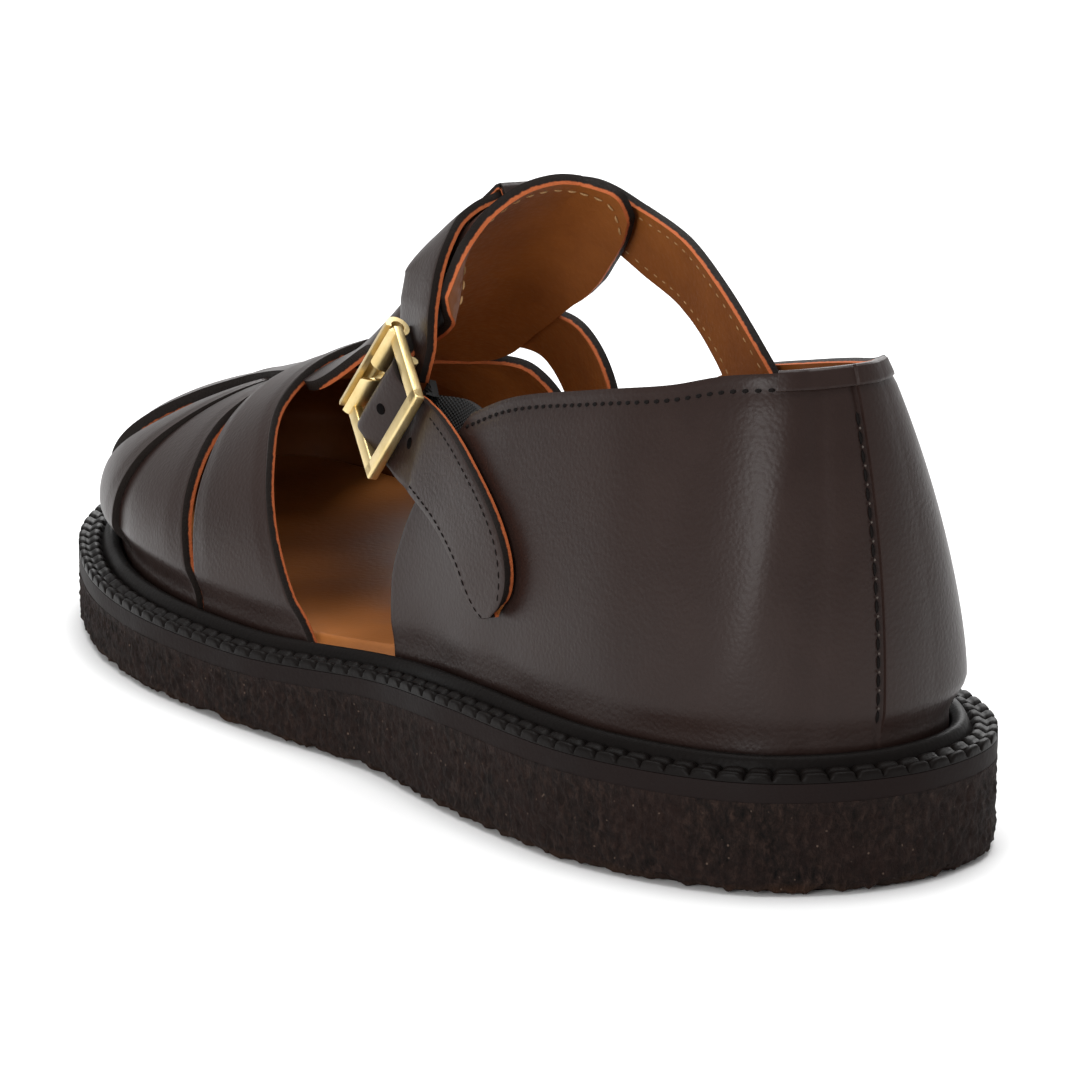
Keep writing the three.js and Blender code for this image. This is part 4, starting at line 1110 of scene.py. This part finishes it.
# Inset, share of the notch added to it, rise over the seat, share of the rib's top added to it
WELT_PROFILE = (
    (0.4, 0, -0.95, 0), (0.02, 0, -0.92, 0), (0, 0, -0.72, 0), (0, 0.6, -0.35, 1), (0.25, 1, -0.06, 1),
    (0.8, 1, 0, 1), (1.8, 0, -0.5, 1), (2.9, 0, 0.15, 1), (3.7, 0, 0, 1), (4.3, 0, -0.2, 0), (4.7, 0, 0.9, 0),
    (5.1, 0, 1.7, 0), (5.7, 0, 2.15, 0), (6.3, 0, 2.15, 0), (7.0, 0, 1.75, 0), (7.6, 0, 1.2, 0),
    (7.6, 0, -0.7, 0), (0.4, 0, -0.95, 0),
)
# Inset and rise over the midsole's top
MIDSOLE_PROFILE = (
    (12, -3.4), (0.5, -3.4), (0.1, -3.35), (0.02, -2.0), (0.0, -1.0), (0.0, -0.15), (0.3, 0.0), (12, 0.0),
)
# Share of the rows, inset, and share of the outsole's height
OUTSOLE_PROFILE = (
    (0, 14, 0.02), (0.05, 5.0, 0.0), (0.09, 1.8, 0.0), (0.13, 0.8, 0.015), (0.17, 0.4, 0.05),
    (0.24, 0.15, 0.14), (0.56, 0.05, 0.5), (0.90, 0.0, 0.9), (0.95, -0.05, 0.985), (0.97, 0.15, 1.0),
    (1.0, 14, 1.0),
)
MIDSOLE_UNDER_SEAT = 0.9
OUTSOLE_UNDER_SEAT = 3.8
# Crumbs of the crepe's wall and its torn hem: height, shift and scale of the noise
CRUMBS = ((0.32, 0, 0.55), (0.32, 40, 1.15), (0.16, 80, 0.16))
CRUMB_MIDDLE = 0.2
HEM = ((2.4, 9, 0.2), (1.5, 5, 0.55))
TREAD_INSET = 4.0
TREAD_LIFT = 0.05
# Dishes of the footbed under heel and ball: depth, station and half-length
DISHES = ((0.9, 45, 45), (0.7, 185, 60))
DISH_REACH = (3, 16)
FOOTBED_EDGE = dict(drop=1.6, reach=1.4)
FOOTBED_SHEET = 0.0016


def plan_x(u):
    return loop_at(PLAN, u * PLAN_STEPS)[..., 0]


def make_welt():
    def place(u, w):
        notch = np.abs(2 * ((u * WELT_RIBS) % 1) - 1) ** 5
        edge = notch * RIB_DEPTH * 0.7
        top = 0.7 - notch * RIB_HEIGHT * 2
        inset, edge_share, rise, top_share = along_profile(WELT_PROFILE, w)
        return ring_place(u, inset + edge * edge_share, seat_at(plan_x(u)) + rise + top * top_share)

    return dress(sole_ring("welt", WELT_RIBS * 10, 34, place, 20), WELT_LEATHER, 60)


def make_midsole():
    def place(u, w):
        inset, rise = along_profile(MIDSOLE_PROFILE, w)
        return ring_place(u, inset, seat_at(plan_x(u)) - MIDSOLE_UNDER_SEAT + rise)

    return dress(sole_ring("midsole", 620, 14, place, 8), MID_RUBBER, 60)


def crumb_at(points, scale):
    """Lumpy noise at each point, from -1 to 1."""
    return np.array([noise.noise(Vector(p) * scale) for p in points])


def across_sole(inset, u):
    """Station at share u of the sole, its way to the nearer end, and the outer and inner edge, drawn in."""
    loop = PLAN - PLAN_OUT * inset
    outer, k1, b1 = side_walk(loop, 1)
    inner, k2, b2 = side_walk(loop, -1)
    x = outer[0] + (outer[-1] - outer[0]) * (1 - np.cos(u * np.pi)) / 2
    y1 = loop_at(loop, b1 + np.interp(x, outer, k1))[..., 1]
    y2 = loop_at(loop, b2 - np.interp(x, inner, k2))[..., 1]
    return x, np.minimum(x - outer[0], outer[-1] - x), y1, y2


def make_outsole():
    shares, insets, rises = zip(*OUTSOLE_PROFILE)

    def place(u, w):
        x = plan_x(u)
        foot = spring_at(x)
        height = seat_at(x) - OUTSOLE_UNDER_SEAT - foot
        p = ring_place(u, np.interp(w, shares, insets), foot + height * np.interp(w, shares, rises))
        wall = ease(w, 0.08, 0.16) * (1 - 0.75 * ease(w, 0.82, 0.95))
        push = sum(h * crumb_at(p + shift, scale) for h, shift, scale in CRUMBS) - CRUMB_MIDDLE
        p[:, :2] += loop_at(PLAN_OUT, u * PLAN_STEPS) * (push * wall)[:, None]
        flat = p * np.array([1, 1, 0])
        torn = sum(h * np.abs(crumb_at(flat + shift, scale)) for h, shift, scale in HEM)
        p[:, 2] += hump(w - 0.14, 0.10) * (w > 0.06) * torn
        return p

    def tread(u, w):
        x, _, y1, y2 = across_sole(TREAD_INSET, u)
        return np.stack([x, y2 + (y1 - y2) * w, spring_at(x) + TREAD_LIFT], -1)

    wall = sole_ring("outsole", 1240, 36, place, 30)
    bottom = shaped_grid("tread", 160, 40, tread, span=(260, 90), flip=True)
    obj = join("outsole", [wall, bottom])
    obj.data.materials.clear()
    return dress(obj, CREPE, 70)


def make_insole():
    def place(u, w):
        x, to_end, y1, y2 = across_sole(INSOLE_INSET, u)
        half = (y1 - y2) / 2
        aside = 2 * w - 1
        aside = np.sign(aside) * (1 - (1 - np.abs(aside)) ** 1.6)
        reach = np.minimum(np.abs(1 - np.abs(aside)) * half, to_end)
        dish = sum(depth * hump(x - middle, length) for depth, middle, length in DISHES)
        edge = FOOTBED_EDGE["drop"] * (1 - ease(reach, 0, FOOTBED_EDGE["reach"]))
        z = seat_at(x) + INSOLE_TOP - edge - dish * ease(reach, *DISH_REACH)
        return np.stack([x, (y1 + y2) / 2 + aside * half, z], -1)

    obj = shaped_grid("insole", 180, 70, place, span=(250, 75))
    apply(obj, "SOLIDIFY", thickness=FOOTBED_SHEET, offset=-1.0)
    return dress(obj, FOOTBED, 60)


# Sewing

# Pitch along the row, then length, width and sink of the thread; the pale dots between the seam's stitches
# are painted glints on the thread
TOPLINE_STITCH = (2.15, 1.3, 0.7, 0.05)
SEAM_STITCH = (3.0, 2.3, 0.6, 0.1)
SEAM_GLINT = (0.45, 0.4, 0.05)
TAIL_STITCH = (1.9, 1.4, 0.3, 0.12)
STRAP_LINING_STITCH = (2.6, 1.6, 0.4, 0.1)
TONGUE_LINING_STITCH = (2.6, 1.7, 0.45, -0.1)


def quarter_row(b, a_from, a_to, pitch):
    def station(t):
        a = a_from + (a_to - a_from) * t
        return a, np.full_like(a, b)

    row = station(even_points(lambda t: on_last(*quarter_at(*station(t))), pitch))
    at = quarter_at(*row)
    return on_last(*at, quarter_relief(*row)), normal_on_last(*at)


def band_row(name, band, w, face, span, material, stitch, *end):
    """A row of stitches along a strap, w across it, on its outer face (1) or its lining (-1)."""
    def curve(u):
        lift = np.full_like(u, face * STRAP_THICKNESS / 2)
        return band_place(band, u, np.full_like(u, w), STRAP_WIDTH, lift, *end)

    pitch, *size = stitch
    u = even_points(curve, pitch, *span)
    return stitches(name, curve(u), face * band.at(band.even(u))[3], material, *size)


def make_stitching():
    rows = []
    pitch, *size = TOPLINE_STITCH
    for side, name in ((-1, "topline_stitches"), (1, "topline_stitches_inner")):
        p, n = quarter_row(0.957, side * 0.985, side * 0.225, pitch)
        rows.append(stitches(name, p, n, DARK_THREAD, *size))

    def seam_at(t):
        b = 0.1 + 0.8 * t
        x = np.full_like(b, HEEL_X + 0.02)
        return np.ones_like(b), x, b * read(TOPLINE["x"], TOPLINE["v"], x)

    pitch, *size = SEAM_STITCH
    seam = seam_at(even_points(lambda t: on_last(*seam_at(t)), pitch))
    facing = normal_on_last(*seam)
    rows.append(stitches("back_seam_stitches", on_last(*seam, -0.05), facing, DARK_THREAD, *size))
    # Pale dots between the seam's stitches: painted glints on the thread
    glint_spots = on_last(*seam, 0.25)
    between = (glint_spots[1:] + glint_spots[:-1]) / 2
    rows.append(stitches("back_seam_glints", between, facing[1:], GLINT_THREAD, *SEAM_GLINT))

    for which, inside, name in ((-1, 1.1, "tail_stitches_left"), (1, 1.6, "tail_stitches_right")):
        w = 0.5 + which * (0.5 - inside / STRAP_WIDTH)
        end = (TAIL_ROUND + 0.03, 0.02)
        rows.append(band_row(name, TAIL, w, 1, (0.42, 0.985), DARK_THREAD, TAIL_STITCH, *end))
    return rows


# Punched holes of the tail: share of its length, share of its width
TAIL_HOLES = ((0.205, 0.5), (0.335, 0.47))
HOLE_RADIUS = 1.0


# Each punched hole is a thin near-black disc just under the strap's face: painted shade of the hole
def make_tail_hole_shades():
    holes = []
    for u, w in TAIL_HOLES:
        at = band_place(TAIL, np.array([u]), np.array([w]), STRAP_WIDTH, np.array([STRAP_THICKNESS / 2]))[0]
        facing = TAIL.at(TAIL.even(np.array([u])))[3][0]
        radius = HOLE_RADIUS * 0.001
        obj = added(bpy.ops.mesh.primitive_cylinder_add, vertices=24, radius=radius, depth=0.0004)
        bevel(obj, 0.00012, 2, 40)
        turn = Vector(turn_to_frame(facing)).to_track_quat("Z", "Y").to_matrix().to_4x4()
        obj.data.transform(Matrix.Translation(Vector(to_frame(at - facing * 0.08))) @ turn)
        holes.append(obj)
    return dress(join("tail_hole_shades", holes), HOLE_SHADE, 40)


def make_inner_stitching():
    rows = ((-1, "strap_lining_stitches_front"), (1, "strap_lining_stitches_rear"))
    return [band_row(name, STRAP, 0.5 + which * 0.36, -1, (0.12, 0.5), TAN_THREAD, STRAP_LINING_STITCH)
            for which, name in rows]


def tongue_stitching():
    """Row of stitches on the tongue's lining, just inside its rim, set square to the flared surface."""
    row = CENTRE_X[0] + 2.4

    def spot(j, forward=0.0):
        return centre_place(np.full_like(j, row + forward), j)

    def lining(t):
        j = 0.03 + 0.94 * t
        along = spot(j + 0.004) - spot(j - 0.004)
        ahead = spot(j, 0.3) - spot(j, -0.3)
        inward = unit(np.cross(along, ahead))
        last_inward = centre_place(np.full_like(j, row), j, -1.0) - spot(j)
        inward *= np.sign((inward * last_inward).sum(1))[:, None]
        return spot(j) + inward * WALL, inward

    pitch, *size = TONGUE_LINING_STITCH
    p, inward = lining(even_points(lambda t: lining(t)[0], pitch))
    return stitches("tongue_lining_stitches", p, inward, TAN_THREAD, *size)


# Building the sandal
UPPER = ("upper", "upper_leather")
ANKLE_STRAP = ("ankle_strap", "strap_leather")
settle(make_outsole(), "outsole", "crepe")
settle(make_midsole(), "midsole", "midsole_rubber")
settle(make_welt(), "welt", "welt_leather")
settle(make_insole(), "insole", "insole_leather")
settle(make_quarter(), *UPPER)
settle(make_heel_tab(), *UPPER)
settle(make_cross_strap("front_strap", FRONT_STRAP, dyed=lambda u, w: np.ones_like(u)), *UPPER)
settle(make_cross_strap("middle_strap", MIDDLE_STRAP, dip=0.5), *UPPER)
settle(make_cross_strap("back_strap", BACK_STRAP), *UPPER)
settle(make_toe_and_tongue(), *UPPER)
for piece in make_straps():
    settle(piece, *ANKLE_STRAP)
settle(make_keeper(), "strap_keeper", "keeper_leather")
settle(make_elastic(), "elastic", "elastic_web")
settle(make_buckle(), "buckle", "buckle_brass")
for piece in make_stitching():
    settle(piece, "ankle_strap" if "tail" in piece.name else "upper", "upper_leather")
for piece in make_inner_stitching():
    settle(piece, *ANKLE_STRAP)
settle(make_tail_hole_shades(), *ANKLE_STRAP)
settle(tongue_stitching(), *UPPER)


# Floor, light and camera
FLOOR_SIZE = 6
ROOM_LIGHT = 0.55
# Soft boxes: name, place, aim, size and power
SOFT_BOXES = (
    ("top", (0.15, -0.1, 1.4), (0, 0, 0.03), (1.3, 1.3), 22),
    ("back", (1.2, -0.9, 0.8), (0, 0, 0.05), (1.2, 0.9), 14),
    ("outer", (-0.8, 1.02, 0.3), (-0.1, 0.03, 0.05), (0.42, 0.6), 8.5),
)


def make_stage():
    floor = added(bpy.ops.mesh.primitive_plane_add, size=FLOOR_SIZE, location=(0, 0, 0))
    floor.name = "floor"
    floor.data.materials.append(pale_floor())


def soft_box(name, place, target, size, power):
    light = bpy.data.lights.new(name, "AREA")
    light.shape = "RECTANGLE"
    light.size, light.size_y = size
    light.energy = power
    obj = bpy.data.objects.new(name, light)
    bpy.context.collection.objects.link(obj)
    obj.location = place
    obj.rotation_euler = (Vector(target) - Vector(place)).to_track_quat("-Z", "Y").to_euler()


def make_light():
    world = bpy.data.worlds.new("studio")
    bpy.context.scene.world = world
    world.use_nodes = True
    back = world.node_tree.nodes["Background"]
    back.inputs["Color"].default_value = (1, 1, 1, 1)
    back.inputs["Strength"].default_value = ROOM_LIGHT
    for box in SOFT_BOXES:
        soft_box(*box)
    bpy.context.scene.view_settings.view_transform = "Standard"


# Camera at the place fitted to the photograph, in the last's millimetres
CAMERA_AT = (-857.8, 623.8, 304.3)
CAMERA_AIM = (134.0, 0.0, 45.0)
PHOTO_FOCUS_PX = 4872.83
AIM_PX = (322.13, 588.55)
FRAME_MIDDLE_PX = (377.0, 645.0)
FRAME_SIDE_PX = 760.0


def make_camera():
    data = bpy.data.cameras.new("camera")
    data.sensor_width = 36
    data.lens = 36 * PHOTO_FOCUS_PX / FRAME_SIDE_PX
    data.clip_end = 20
    cam = bpy.data.objects.new("camera", data)
    bpy.context.collection.objects.link(cam)
    here = Vector(to_frame(np.array(CAMERA_AT)))
    ahead = (Vector(to_frame(np.array(CAMERA_AIM))) - here).normalized()
    right = ahead.cross(Vector((0, 0, 1))).normalized()
    up = right.cross(ahead)
    ahead += right * ((FRAME_MIDDLE_PX[0] - AIM_PX[0]) / PHOTO_FOCUS_PX)
    ahead -= up * ((FRAME_MIDDLE_PX[1] - AIM_PX[1]) / PHOTO_FOCUS_PX)
    cam.location = here
    cam.rotation_euler = ahead.to_track_quat("-Z", "Y").to_euler()
    bpy.context.scene.camera = cam


make_stage()
make_light()
make_camera()
